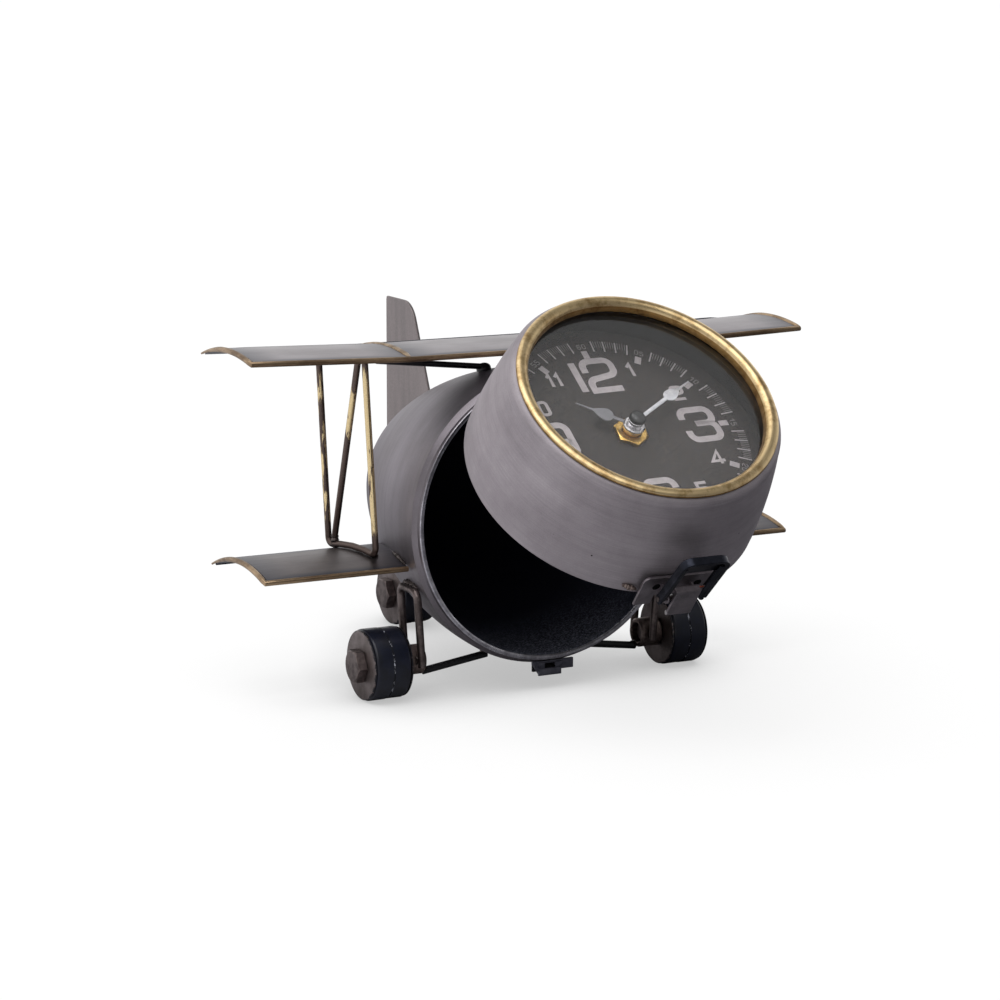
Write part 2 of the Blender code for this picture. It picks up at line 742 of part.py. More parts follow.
def make_front_gear(root, steel, rubber, dark_steel):
    """Front wheels on U-shaped legs, each held in by a spreader to the belly."""
    for side, word in ((-1, "left"), (1, "right")):
        make_wheel(root, word, side * wheel_outer_face_x, -side, wheel_axle_y, rubber, steel, dark_steel)
        front_y = wheel_axle_y - gear_leg_spread
        rear_y = wheel_axle_y + gear_leg_spread
        foot_z = wheel_axle_z - gear_wire_radius
        bottom_x = side * gear_leg_bottom_x
        top_x = side * gear_leg_top_x
        legs = [(bottom_x, front_y, foot_z), (top_x, front_y, gear_leg_top_z), (top_x, rear_y, gear_leg_top_z),
                (bottom_x, rear_y, foot_z)]
        bend = gear_leg_spread * gear_leg_bend_share
        add_node(f"gear_legs_{word}", wire(legs, gear_wire_radius, bend, 3), steel, root)
        outer = side * (wheel_outer_face_x - wheel_width - sleeve_length - seat_gap * 3)
        outer_z = wheel_axle_z - spreader_outer_drop
        inner_x = side * spreader_inner_x
        inner_z = -sqrt(fuselage_outer(wheel_axle_y) ** 2 - spreader_inner_x ** 2) - spreader_radius - seat_gap
        run = [(outer, wheel_axle_y, outer_z), (inner_x, wheel_axle_y, inner_z)]
        add_node(f"gear_spreader_{word}", wire(run, spreader_radius), dark_steel, root)


def make_tail_gear(root, steel, rubber, dark_steel):
    """The tail wheel, carried from one side by one wire that is bent under the tail."""
    axle_y = fuselage_length * tail_axle_share
    make_wheel(root, "tail", -tail_wheel_face_x, 1, axle_y, rubber, steel, dark_steel)
    sleeve_x = wheel_width - tail_wheel_face_x + seat_gap + sleeve_length / 2
    foot_z = wheel_axle_z - gear_wire_radius
    rise = gear_wire_radius + 2 * seat_gap
    leg_y = (axle_y - gear_leg_spread, axle_y + gear_leg_spread)
    path = [(sleeve_x, leg_y[0], foot_z), (sleeve_x, leg_y[0], tail_leg_bend_z)]
    path += [(tail_leg_top_x, y, -fuselage_outer(y) - rise) for y in (leg_y[0], axle_y, leg_y[1])]
    path += [(sleeve_x, leg_y[1], tail_leg_bend_z), (sleeve_x, leg_y[1], foot_z)]
    add_node("tail_gear_legs", wire(path, gear_wire_radius, tail_leg_bend, 3), steel, root)


def make_hinge(root, lid, steel, dark_steel):
    """Two leaves with interleaved knuckles on one pin. The lid's leaf is laid out with the lid closed."""
    pitch = hinge_width / knuckle_count
    half = hinge_width / 2
    plate_low = fuselage_radius + seat_gap

    def knuckle(index, turns, leaf_points):
        """One knuckle with the web to its leaf: a round eye and the web's points inside the leaf."""
        low = -half + index * pitch + (seat_gap / 2 if index else 0)
        high = -half + (index + 1) * pitch - (seat_gap / 2 if index < knuckle_count - 1 else 0)
        outline = arc((hinge_y, hinge_z), knuckle_radius, *turns, 12) + leaf_points
        return plate(outline, "X", low, high)

    def bore():
        radius = hinge_pin_radius + seat_gap
        reach = half + cut_overrun
        outline = [(0, -reach), (radius, -reach), (radius, reach), (0, reach)]
        return moved(turned_along_x(outline, 12), (0, hinge_y, hinge_z))

    inset = leaf_thickness * 0.1
    leaf_front = hinge_y + leaf_setback
    flat = block((-half, half), (leaf_front, leaf_front + leaf_length), (plate_low, plate_low + leaf_thickness))
    fixed = add_node("hinge_leaf_fuselage", flat, steel, root)
    bite = leaf_front + leaf_thickness
    for index in range(0, knuckle_count, 2):
        web = [(bite, plate_low + inset), (bite, plate_low + leaf_thickness - inset)]
        join_solid(fixed, knuckle(index, (0, pi * 1.5), web), f"fixed_knuckle_{index}")
    cut(fixed, bore(), "fixed_bore")

    leaf_back = hinge_y - leaf_setback
    lid_plate_low = drum_outer(leaf_length / 2) + seat_gap * 2
    strip = block((-half, half), (leaf_back - leaf_length, leaf_back),
                  (lid_plate_low, lid_plate_low + leaf_thickness))
    swinging = add_node("hinge_leaf_lid", strip, steel, lid)
    bite = leaf_back - leaf_thickness
    for index in range(1, knuckle_count, 2):
        web = [(bite, lid_plate_low + leaf_thickness - inset), (bite, lid_plate_low + inset)]
        join_solid(swinging, knuckle(index, (-pi / 2, pi), web), f"lid_knuckle_{index}")
    cut(swinging, bore(), "lid_bore")

    end = half + seat_gap
    pin = [(0, -end - hinge_pin_head_length), (hinge_pin_head_radius, -end - hinge_pin_head_length),
           (hinge_pin_head_radius, -end), (hinge_pin_radius, -end), (hinge_pin_radius, end),
           (hinge_pin_head_radius, end), (hinge_pin_head_radius, end + hinge_pin_head_length),
           (0, end + hinge_pin_head_length)]
    pin_solid = moved(turned_along_x(pin, 12), (0, hinge_y, hinge_z))
    add_node("hinge_pin", pin_solid, dark_steel, root)

    for leaf, y, z in ((fixed, leaf_front + leaf_length * hinge_rivet_place_share, plate_low + leaf_thickness),
                       (swinging, leaf_back - leaf_length * hinge_rivet_place_share, lid_plate_low + leaf_thickness)):
        for side, word in ((-1, "left"), (1, "right")):
            shape = [(0, -leaf_thickness / 2), (hinge_rivet_radius, -leaf_thickness / 2),
                     (hinge_rivet_radius * hinge_rivet_crown_share, hinge_rivet_height * hinge_rivet_crown_share),
                     (0, hinge_rivet_height)]
            rivet = turned(shape, 12)
            bmesh.ops.rotate(rivet, verts=rivet.verts, cent=(0, 0, 0), matrix=Matrix.Rotation(pi / 2, 3, "X"))
            join_solid(leaf, moved(rivet, (side * hinge_rivet_spread, y, z)), f"{leaf.name}_rivet_{word}")


def make_drum(lid, steel, black):
    """The lid's spun drum, open at the back, turned in at the front to hold the bezel."""
    outer = []
    for ring in range(drum_rings + 1):
        depth = drum_length * ring / drum_rings
        outer.append((drum_outer(depth), -depth - seat_gap))
    for step in range(1, 4):
        turn = step / 3 * pi / 2
        outer.append((drum_front_radius - drum_shoulder_radius * (1 - cos(turn)),
                      -drum_length - drum_shoulder_depth * sin(turn) - seat_gap))
    front_y = -drum_length - drum_shoulder_depth - seat_gap
    inner = [(front_opening_radius, front_y), (front_opening_radius, front_y + drum_wall),
             (drum_front_radius - drum_shoulder_radius + drum_wall / 2, front_y + drum_wall)]
    for ring in range(drum_rings, -1, -1):
        depth = drum_length * ring / drum_rings
        inner.append((drum_outer(depth) - drum_wall, -depth - seat_gap))
    add_node("clock_drum", turned(outer + inner), steel, lid)
    carrier_back = -dial_depth + dial_thickness + seat_gap
    edge = drum_outer(dial_depth - dial_thickness) - drum_wall - seat_gap * 2
    ring = [(carrier_inner_radius, carrier_back), (edge, carrier_back),
            (edge, carrier_back + carrier_thickness), (carrier_inner_radius, carrier_back + carrier_thickness)]
    add_node("dial_carrier", turned(ring), black, lid)


def make_face(lid, brass, glass, black, dial_black):
    """Bezel, glass, the black liner between glass and dial, and the dial."""
    front = -drum_length - drum_shoulder_depth - seat_gap
    glass_front = front + bezel_lip_depth
    seat = front - seat_gap
    outer_width = bezel_outer_radius - bezel_crest_radius
    inner_width = bezel_crest_radius - bezel_inner_radius
    inner_height = bezel_height + glass_front - seat
    turns = [step * pi / 6 for step in range(4)]
    crown = [(bezel_crest_radius + outer_width * cos(turn), seat - bezel_height * sin(turn)) for turn in turns]
    crown += [(bezel_crest_radius - inner_width * sin(turn), glass_front - inner_height * cos(turn))
              for turn in turns[1:]]
    skirt_radius = front_opening_radius - seat_gap
    outline = crown + [(skirt_radius - bezel_wall, glass_front),
                       (skirt_radius - bezel_wall, front + bezel_skirt), (skirt_radius, front + bezel_skirt),
                       (skirt_radius, seat)]
    add_node("bezel", turned(outline), brass, lid)
    glass_edge = skirt_radius - bezel_wall - seat_gap
    pane_front = glass_front + seat_gap
    pane = [(0, pane_front), (glass_edge, pane_front), (glass_edge, pane_front + glass_thickness),
            (0, pane_front + glass_thickness)]
    add_node("glass_lens", turned(pane), glass, lid)
    ring_front = pane_front + glass_thickness + seat_gap
    ring_back = -dial_depth - seat_gap
    front_radius = drum_outer(-ring_front) - drum_wall - liner_clearance
    back_radius = drum_outer(dial_depth) - drum_wall - 2 * liner_clearance
    wall = [(liner_flange_radius, ring_front), (front_radius, ring_front), (back_radius, ring_back),
            (back_radius - liner_thickness, ring_back), (front_radius - liner_thickness, ring_front + liner_thickness),
            (liner_flange_radius, ring_front + liner_thickness)]
    add_node("inner_wall_ring", turned(wall), black, lid)
    hole = bush_radius + seat_gap
    dial_radius = drum_outer(dial_depth) - drum_wall - liner_clearance
    disc = [(hole, -dial_depth), (dial_radius, -dial_depth), (dial_radius, -dial_depth + dial_thickness),
            (hole, -dial_depth + dial_thickness)]
    add_node("dial", turned(disc), dial_black, lid)


def make_movement(lid, black, brass, label):
    """Battery quartz movement behind the dial, its bush and nut, battery and setting knob."""
    front_y = -dial_depth + dial_thickness + seat_gap
    back_y = front_y + movement_thickness
    outline = rounded_box(movement_width, movement_height, movement_corner)
    case = add_node("movement_case", plate(outline, "Y", front_y, back_y), black, lid)
    bay_half = battery_length / 2 + battery_tip_length + bay_clearance
    bay_radius = battery_radius + bay_clearance
    bay = block((-bay_half, bay_half), (back_y - 2 * bay_radius, back_y + cut_overrun),
                (-battery_drop - bay_radius, -battery_drop + bay_radius))
    cut(case, bay, "battery_bay")
    knob_hole = knob_stem_radius + seat_gap
    stem_depth = movement_thickness * knob_well_share
    well = turned([(0, back_y - stem_depth), (knob_hole, back_y - stem_depth), (knob_hole, back_y + cut_overrun),
                   (0, back_y + cut_overrun)], 16)
    cut(case, moved(well, (0, 0, knob_offset)), "knob_well")
    arbor_hole = arbor_radius + seat_gap
    bush_front = front_y - dial_thickness - bush_length
    bush = [(arbor_hole, front_y - seat_gap), (bush_radius, front_y - seat_gap), (bush_radius, bush_front),
            (arbor_hole, bush_front)]
    add_node("dial_bush", turned(bush, small_turning_steps), brass, lid)
    cell_length = battery_length / 2
    cell = [(0, -cell_length), (battery_radius, -cell_length), (battery_radius, cell_length),
            (battery_tip_radius, cell_length), (battery_tip_radius, cell_length + battery_tip_length),
            (0, cell_length + battery_tip_length)]
    cell_y = back_y - battery_radius - bay_clearance
    add_node("battery", moved(turned_along_x(cell, small_turning_steps), (0, cell_y, -battery_drop)),
             label, lid)
    bore = bush_radius + seat_gap
    nut_back = -dial_depth - seat_gap
    nut = add_node("dial_nut", plate(hexagon(dial_nut_across), "Y", nut_back - dial_nut_thickness, nut_back),
                   brass, lid)
    nut_bore = turned([(0, nut_back - dial_nut_thickness - cut_overrun), (bore, nut_back - dial_nut_thickness
                       - cut_overrun), (bore, nut_back + cut_overrun), (0, nut_back + cut_overrun)],
                      small_turning_steps)
    cut(nut, nut_bore, "nut_bore")
    knob_back = back_y + seat_gap
    knob = [(0, back_y - stem_depth + seat_gap), (knob_stem_radius, back_y - stem_depth + seat_gap),
            (knob_stem_radius, knob_back), (knob_radius, knob_back), (knob_radius, knob_back + knob_length),
            (0, knob_back + knob_length)]
    add_node("setting_knob", moved(turned(knob, 16), (0, 0, knob_offset)), black, lid,
             (0, knob_back, knob_offset))


def hand_outline(length, start, root_width, spade_width, spade_place, tip_width):
    """One side of a spade hand as (along, half width) pairs, from its hub to its tip."""
    return [(start, root_width / 2),
            (length * (spade_place - hand_shank_end_share), root_width / 2),
            (length * (spade_place - hand_shoulder_share), spade_width * hand_shoulder_width_share),
            (length * spade_place, spade_width / 2),
            (length * (spade_place + hand_taper_share), spade_width * hand_taper_width_share),
            (length * (spade_place + hand_needle_share), tip_width / 2),
            (length, tip_width / 4)]


def make_hand(lid, name, length, height, angle, collet_radius, widths, finish):
    """A spade hand on its collet, turned to its place on the dial."""
    low = -dial_depth - height
    side = hand_outline(length, collet_radius * hand_collet_bite_share, *widths)
    outline = [(half, along) for along, half in side] + [(-half, along) for along, half in reversed(side)]
    blade = plate(outline, "Y", low - hand_thickness, low)
    bore = arbor_radius + seat_gap
    front = low - hand_thickness - hand_collet_proud
    back = low + hand_collet_length
    collet = [(bore, back), (collet_radius * hand_collet_taper_share, back), (collet_radius, front), (bore, front)]
    hub = turned(collet, small_turning_steps)
    swing = Matrix.Rotation(angle, 3, "Y")
    for solid in (blade, hub):
        bmesh.ops.rotate(solid, verts=solid.verts, cent=(0, 0, 0), matrix=swing)
    hand = add_node(name, hub, finish, lid, (0, low, 0))
    join_solid(hand, blade, f"{name}_blade")


def make_hands(lid, steel, black, dark_steel):
    """Hour and minute hands on one arbor, closed by a domed cap."""
    arbor_front = -dial_depth - arbor_length
    make_hand(lid, "hour_hand", hour_hand_length, hour_hand_height, hour_hand_angle, hour_collet_radius,
              (hand_root_width, hour_spade_width, hour_spade_place_share, hand_tip_width), steel)
    make_hand(lid, "minute_hand", minute_hand_length, minute_hand_height, minute_hand_angle,
              minute_collet_radius, (hand_root_width, minute_spade_width, minute_spade_place_share,
                                     hand_tip_width), steel)
    arbor_back = -dial_depth + dial_thickness
    arbor = [(0, arbor_back), (arbor_radius, arbor_back), (arbor_radius, arbor_front), (0, arbor_front)]
    add_node("hand_arbor", turned(arbor, 16), dark_steel, lid)
    cap_back = -dial_depth - minute_hand_height - hand_thickness - hand_collet_proud - seat_gap
    bore = arbor_radius + seat_gap
    skirt_front = cap_back - cap_height * cap_skirt_share
    dome_height = cap_height * (1 - cap_skirt_share)
    dome = [(bore, cap_back), (cap_radius, cap_back), (cap_radius, skirt_front)]
    dome += [(cap_radius * cos(turn), skirt_front - dome_height * sin(turn)) for turn in (pi / 6, pi / 3)]
    dome += [(0, cap_back - cap_height), (0, arbor_front - seat_gap), (bore, arbor_front - seat_gap)]
    add_node("hand_cap", turned(dome, small_turning_steps), black, lid)


def make_latch(lid, steel, dark_steel):
    """Toggle latch under the drum: plate with ears and a tab past the rim, lever, and hook plate on its pin."""
    plate_top = -drum_rim_radius - seat_gap
    plate_low = plate_top - latch_plate_thickness
    back = -latch_plate_setback
    half = latch_plate_width / 2
    corner = latch_plate_corner
    centre_y = back - latch_plate_length / 2
    inner_x, front_y = half - corner, back - latch_plate_length + corner
    outline = arc((inner_x, back - corner), corner, 0, pi / 2, 3)
    outline += [(latch_tab_width - half, back), (latch_tab_width - half, latch_tab_reach), (-half, latch_tab_reach)]
    outline += arc((-inner_x, front_y), corner, pi, pi * 1.5, 3)
    outline += arc((inner_x, front_y), corner, pi * 1.5, tau, 3)
    base = add_node("latch_plate", plate(outline, "Z", plate_low, plate_top), steel, lid)
    pivot_y = back - latch_pivot_setback
    pivot_z = plate_low - latch_pivot_drop
    pin_bore = latch_pin_radius + seat_gap
    for side in (-1, 1):
        ear_x = sorted((side * latch_ear_spread, side * (latch_ear_spread - latch_ear_thickness)))
        ear = [(pivot_y - latch_ear_length / 2, plate_low + latch_plate_thickness / 2)]
        ear += [(pivot_y - latch_ear_length / 2, pivot_z)]
        ear += arc((pivot_y, pivot_z), lever_eye_radius, pi, tau, 6)
        ear += [(pivot_y + latch_ear_length / 2, pivot_z), (pivot_y + latch_ear_length / 2,
                plate_low + latch_plate_thickness / 2)]
        join_solid(base, plate(ear, "X", *ear_x), f"latch_ear_{side}")
        hole = turned([(0, plate_low - cut_overrun), (latch_hole_radius, plate_low - cut_overrun),
                       (latch_hole_radius, plate_top + cut_overrun), (0, plate_top + cut_overrun)], 16)
        bmesh.ops.rotate(hole, verts=hole.verts, cent=(0, 0, 0), matrix=Matrix.Rotation(pi / 2, 3, "X"))
        cut(base, moved(hole, (side * latch_hole_spread, centre_y, 0)), f"latch_hole_{side}")
    reach = lever_leg_spread + lever_leg_thickness + seat_gap
    bore = [(0, -reach), (pin_bore, -reach), (pin_bore, reach), (0, reach)]
    cut(base, moved(turned_along_x(bore, 12), (0, pivot_y, pivot_z)), "latch_ear_bore")
    pin = [(0, -reach), (latch_pin_radius, -reach), (latch_pin_radius, reach), (0, reach)]
    add_node("latch_pivot_pin", moved(turned_along_x(pin, 12), (0, pivot_y, pivot_z)), steel, lid)
    make_lever(lid, pivot_y, pivot_z, steel, dark_steel)


def make_lever(lid, pivot_y, pivot_z, steel, dark_steel):
    """The lever and its hook plate, laid out flat and then swung to the rest angle about the pivot."""
    lever_axis = add_empty("latch_lever_axis", (0, pivot_y, pivot_z), lid, (lever_rest_angle, 0, 0))
    pin_bore = latch_pin_radius + seat_gap
    nose = -lever_length
    width = lever_leg_spread + lever_leg_thickness
    inner_corner = lever_nose_corner - lever_leg_thickness
    turn_y = nose + lever_nose_corner
    turn_x = width - lever_nose_corner
    outline = [(width, 0)]
    outline += arc((turn_x, turn_y), lever_nose_corner, 0, -pi / 2, 4)
    outline += arc((-turn_x, turn_y), lever_nose_corner, -pi / 2, -pi, 4)
    outline += [(-width, 0), (-lever_leg_spread, 0)]
    outline += arc((-turn_x, turn_y), inner_corner, -pi, -pi / 2, 4)
    outline += arc((turn_x, turn_y), inner_corner, -pi / 2, 0, 4)
    outline += [(lever_leg_spread, 0)]
    loop = plate(outline, "Z", -lever_leg_height / 2, lever_leg_height / 2)
    lever = add_node("latch_lever", loop, dark_steel, lever_axis)
    for side in (-1, 1):
        low_x, high_x = sorted((side * (lever_leg_spread + lever_eye_inset), side * (width - lever_eye_inset)))
        eye = [(0, low_x), (lever_eye_radius, low_x), (lever_eye_radius, high_x), (0, high_x)]
        join_solid(lever, turned_along_x(eye), f"lever_eye_{side}")
    bar_half = lever_leg_spread + lever_leg_thickness / 2
    bar_low = -lever_leg_height / 2 + lever_bar_thickness / 4
    bar_corner = lever_nose_corner - lever_leg_thickness / 2
    bar_outline = [(bar_half, nose + lever_bar_length)] + arc((turn_x, turn_y), bar_corner, 0, -pi / 2, 4)
    bar_outline += arc((-turn_x, turn_y), bar_corner, -pi / 2, -pi, 4) + [(-bar_half, nose + lever_bar_length)]
    bar = plate(bar_outline, "Z", bar_low, bar_low + lever_bar_thickness)
    join_solid(lever, bar, "lever_bar")
    reach = width + cut_overrun
    bore = [(0, -reach), (pin_bore, -reach), (pin_bore, reach), (0, reach)]
    cut(lever, turned_along_x(bore, 12), "lever_bore")
    hook_y = -hook_pin_setback
    cut(lever, moved(turned_along_x(bore, 12), (0, hook_y, 0)), "lever_hook_bore")
    pin = [(0, -width), (latch_pin_radius, -width), (latch_pin_radius, width), (0, width)]
    add_node("hook_pin", moved(turned_along_x(pin, 12), (0, hook_y, 0)), steel, lever_axis)
    hook_axis = add_empty("latch_hook_axis", (0, hook_y, 0), lever_axis, (-lever_rest_angle, 0, 0))
    half = hook_width / 2
    low = -hook_drop
    top = low + hook_thickness
    outline = arc((0, 0), hook_eye_radius, 0, pi, 8)
    outline += [(-hook_eye_radius, low), (hook_length, low), (hook_length, top + hook_lip_height),
                (hook_length - hook_thickness, top + hook_lip_height), (hook_length - hook_thickness, top),
                (hook_eye_radius, top)]
    hook = add_node("latch_hook", plate(outline, "X", -half, half), steel, hook_axis)
    bore = [(0, -half - cut_overrun), (pin_bore, -half - cut_overrun), (pin_bore, half + cut_overrun),
            (0, half + cut_overrun)]
    cut(hook, turned_along_x(bore, 12), "hook_bore")


def make_catch(root, dark_steel):
    """The slotted catch under the front lip of the fuselage."""
    half = catch_width / 2
    top = -lip_radius - lip_bead_radius - seat_gap
    front = [(-half, top), (half, top), (half, top - catch_height), (-half, top - catch_height)]
    foot_top = -fuselage_radius - seat_gap
    foot = block((half - catch_thickness / 2, half + catch_foot_width), (catch_thickness / 2, catch_depth),
                 (foot_top - seat_gap - catch_foot_height, foot_top - seat_gap))
    face = add_node("latch_catch", plate(front, "Y", seat_gap, catch_thickness), dark_steel, root)
    join_solid(face, foot, "catch_foot")
    belly = -fuselage_radius - seat_gap
    for side in (-1, 1):
        wall_x = sorted((side * (half - seat_gap), side * (half - catch_thickness)))
        gusset = [(catch_thickness / 2, top - catch_height), (catch_thickness / 2, belly),
                  (catch_depth, belly), (catch_depth, belly - catch_thickness)]
        join_solid(face, plate(gusset, "X", *wall_x), f"catch_gusset_{side}")
    slot_top = top - catch_slot_drop
    slot = block((-catch_slot_width / 2, catch_slot_width / 2), (-cut_overrun, catch_thickness + cut_overrun),
                 (slot_top - catch_slot_height, slot_top))
    cut(face, slot, "catch_slot")


def set_on_ground(root):
    """Moves the whole clock so that its wheels stand at z = 0 and its outline's middle is at y = 0."""
    bpy.context.view_layer.update()
    graph = bpy.context.evaluated_depsgraph_get()
    low, high = Vector((1e9, 1e9, 1e9)), Vector((-1e9, -1e9, -1e9))
    for thing in bpy.data.objects:
        if thing.type != "MESH" or thing.hide_render:
            continue
        shown = thing.evaluated_get(graph)
        for vertex in shown.data.vertices:
            place = shown.matrix_world @ vertex.co
            low = Vector(map(min, low, place))
            high = Vector(map(max, high, place))
    root.location = (0, -(low.y + high.y) / 2, -low.z)
    bpy.context.view_layer.update()


def main():
    clear_scene()
    steel = finish_material("brushed_steel", (0.20, 0.18, 0.185), 0.42, 1.0)
    dark_steel = finish_material("blackened_steel", (0.03, 0.03, 0.032), 0.45, 0.9)
    bronze = finish_material("bronze_edge", (0.25, 0.17, 0.08), 0.38, 1.0)
    brass = finish_material("aged_brass", (0.50, 0.35, 0.14), 0.30, 1.0)
    glass = finish_material("clear_glass", (0.9, 0.9, 0.9), 0.05, 0.0, 0.3)
    black = finish_material("black_paint", (0.01, 0.01, 0.011), 0.6, 0.0)
    dial_black = finish_material("dial_print", (0.035, 0.034, 0.036), 0.6, 0.0)
    rubber = finish_material("black_rubber", (0.012, 0.013, 0.018), 0.5, 0.0)
    label = finish_material("battery_sleeve", (0.06, 0.06, 0.07), 0.4, 0.2)
    root = add_empty("clock_origin", (0, 0, 0))
    hinge = (0, hinge_y, hinge_z)
    lid_hinge = add_empty("lid_hinge_axis", hinge, root, (-lid_open_angle, 0, 0))
    lid = add_empty("lid_layout", (-Vector(hinge)), lid_hinge)
    make_fuselage(root, steel)
    make_fin(root, steel)
    make_wings(root, steel, bronze)
    make_struts(root, steel)
    make_cabane(root, dark_steel)
    make_front_gear(root, steel, rubber, dark_steel)
    make_tail_gear(root, steel, rubber, dark_steel)
    make_catch(root, dark_steel)
    make_hinge(root, lid, steel, dark_steel)
    make_drum(lid, steel, black)
    make_face(lid, brass, glass, black, dial_black)
    make_movement(lid, black, brass, label)
    make_hands(lid, steel, black, dark_steel)
    make_latch(lid, steel, dark_steel)
    set_on_ground(root)


main()
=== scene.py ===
"""Looks of the biplane table clock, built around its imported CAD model.

Pieces are laid out in millimetres from the middle of the fuselage mouth, as the clock's maker would
measure them: +Z up, the nose towards -Y, the wings along X. Pieces of the lid are laid out with the
lid closed and swung open with it. A plain pale floor and soft studio light stand in for the photo's.
"""
import json
from math import acos, asin, cos, pi, radians, sin, sqrt, tan, tau

import bmesh
import bpy
from mathutils import Matrix, Vector, noise


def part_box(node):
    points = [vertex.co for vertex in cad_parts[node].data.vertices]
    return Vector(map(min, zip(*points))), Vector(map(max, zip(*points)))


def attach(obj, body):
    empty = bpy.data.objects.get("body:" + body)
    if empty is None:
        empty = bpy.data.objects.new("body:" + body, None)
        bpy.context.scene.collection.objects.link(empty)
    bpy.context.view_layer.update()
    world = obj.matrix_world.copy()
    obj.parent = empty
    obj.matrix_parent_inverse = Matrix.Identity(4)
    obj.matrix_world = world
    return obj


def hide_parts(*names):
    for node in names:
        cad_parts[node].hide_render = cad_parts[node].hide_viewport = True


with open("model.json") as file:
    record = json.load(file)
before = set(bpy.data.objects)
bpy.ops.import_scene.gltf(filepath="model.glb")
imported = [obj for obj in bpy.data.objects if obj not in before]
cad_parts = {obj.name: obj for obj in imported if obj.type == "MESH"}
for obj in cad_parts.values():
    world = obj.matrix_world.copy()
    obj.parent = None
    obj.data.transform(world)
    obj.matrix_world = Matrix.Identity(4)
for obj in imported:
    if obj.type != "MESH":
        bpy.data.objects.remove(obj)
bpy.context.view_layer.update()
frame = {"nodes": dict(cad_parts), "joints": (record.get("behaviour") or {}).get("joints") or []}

# The frame's own places: middle of the mouth, and the hinge that the lid swings on
millimetre = 0.001
shell_low, shell_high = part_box("fuselage_shell")
mouth = Vector((0.0, shell_low.y, (shell_low.z + shell_high.z) / 2))
hinge_joint = next(joint for joint in frame["joints"] if joint["name"] == "lid_hinge")
lid_open_angle = -hinge_joint["range_deg"][0]
hinge_place = Vector(hinge_joint["pos_m"])

to_world = Matrix.Translation(mouth) @ Matrix.Scale(millimetre, 4)
hinge_mm = (hinge_place - mouth) / millimetre
swing_open = Matrix.Rotation(radians(-lid_open_angle), 4, "X")
lid_to_world = to_world @ Matrix.Translation(hinge_mm) @ swing_open @ Matrix.Translation(-hinge_mm)

# Sizes of the clock, in millimetres
seat_gap = 0.3

lip_radius, lip_bead_radius, lip_corner = 60.6, 1.2, 0.7
fuselage_radius, fuselage_length, fuselage_wall = 63.5, 160.0, 1.5
shoulder_length = 4.5
groove_width, groove_depth = 0.8, 0.4
tail_curve_share, tail_taper_share = 1.95, 0.87
tail_button_radius = 3.0

drum_rim_radius, drum_front_radius, drum_bulge = 62.2, 57.1, 1.2
drum_length, drum_wall = 43.0, 1.0
drum_shoulder_radius, drum_shoulder_depth = 4.2, 4.5
drum_edge_chamfer = 0.35
front_opening_radius = 52.8

bezel_outer_radius, bezel_crest_radius, bezel_inner_radius = 54.7, 52.2, 49.1
bezel_height, bezel_lip_depth, bezel_skirt, bezel_wall = 1.5, 2.5, 3.6, 0.8
glass_thickness = 2.0
liner_flange_radius, liner_thickness, liner_clearance = 50.5, 0.8, 0.5
dial_depth, dial_thickness = 24.3, 0.8
dial_turn = radians(-2.2)
ink_lift = 0.02

movement_width, movement_thickness, movement_corner = 56.0, 15.5, 3.0
battery_radius, battery_length, battery_drop = 7.25, 50.0, 16.5
bay_clearance = 0.5
bush_radius, arbor_radius = 4.0, 1.2
dial_nut_across, dial_nut_thickness = 13.0, 1.8
knob_radius, knob_length, knob_offset = 4.5, 4.0, 14.0
hand_thickness = 0.4
hour_hand_height, minute_hand_height = 5.0, 7.5
hour_hand_angle, minute_hand_angle = radians(304), radians(60)
hour_collet_radius, minute_collet_radius, hand_collet_length = 4.6, 3.2, 1.6
cap_radius, cap_height, arbor_end = 3.4, 3.0, 34.4

latch_plate_width, latch_plate_length, latch_plate_thickness = 32.0, 10.5, 1.2
latch_plate_setback, latch_plate_corner = 1.5, 2.4
latch_tab_width, latch_tab_reach = 7.5, 3.6
latch_hole_radius, latch_hole_spread = 1.7, 9.3
latch_ear_spread, latch_ear_thickness, latch_ear_length = 6.7, 1.0, 6.0
latch_pivot_setback, latch_pivot_drop = 3.5, 4.8
lever_eye_radius, lever_length, lever_nose_corner = 2.2, 27.5, 4.2
lever_leg_spread, lever_leg_thickness, lever_leg_height = 8.8, 1.2, 3.6
lever_bar_length, lever_bar_thickness = 9.5, 1.4
lever_wide_leg, lever_dish = 1.2, 1.7
lever_flange_width, lever_flange_thickness = 2.3, 0.6
lever_rest_angle = radians(9)
hook_pin_setback, hook_drop, hook_width, hook_length = 5.5, 2.6, 11.0, 12.0
hook_thickness, hook_lip, hook_eye_radius, hook_curl_radius = 1.2, 0.5, 1.7, 0.95

sheet_thickness, edge_bead_radius = 1.0, 1.2
hem_radius, hem_rise = 0.9, 1.3
upper_half_span = 130.5
upper_front_y, upper_rear_y = 12.7, 68.0
upper_front_z, upper_rear_z = 72.0, 69.7
upper_arch = 3.6
upper_crank_x, upper_crank_rise = 59.5, 2.2
rib_width, rib_thickness, rib_sheet = 2.6, 0.9, 0.4
lower_half_span = 125.4
lower_front_y, lower_rear_y = 13.7, 73.0
lower_front_z, lower_rear_z = -18.9, -22.0
lower_arch = 5.3
lower_hem_radius = 0.7

wire_radius = 1.4
strut_front_foot, strut_front_top = (71.0, 23.5), (73.5, 28.7)
strut_rear_foot, strut_rear_top = (77.5, 58.0), (79.0, 64.0)
strut_bend = 3.0
cabane_foot_x, cabane_foot_y = 12.0, 40.0
cabane_top_x, cabane_top_y = 72.0, 19.5
cabane_boss_radius, cabane_boss_height, cabane_rod_radius = 3.2, 3.1, 1.3
cabane_boss_rim = 0.8

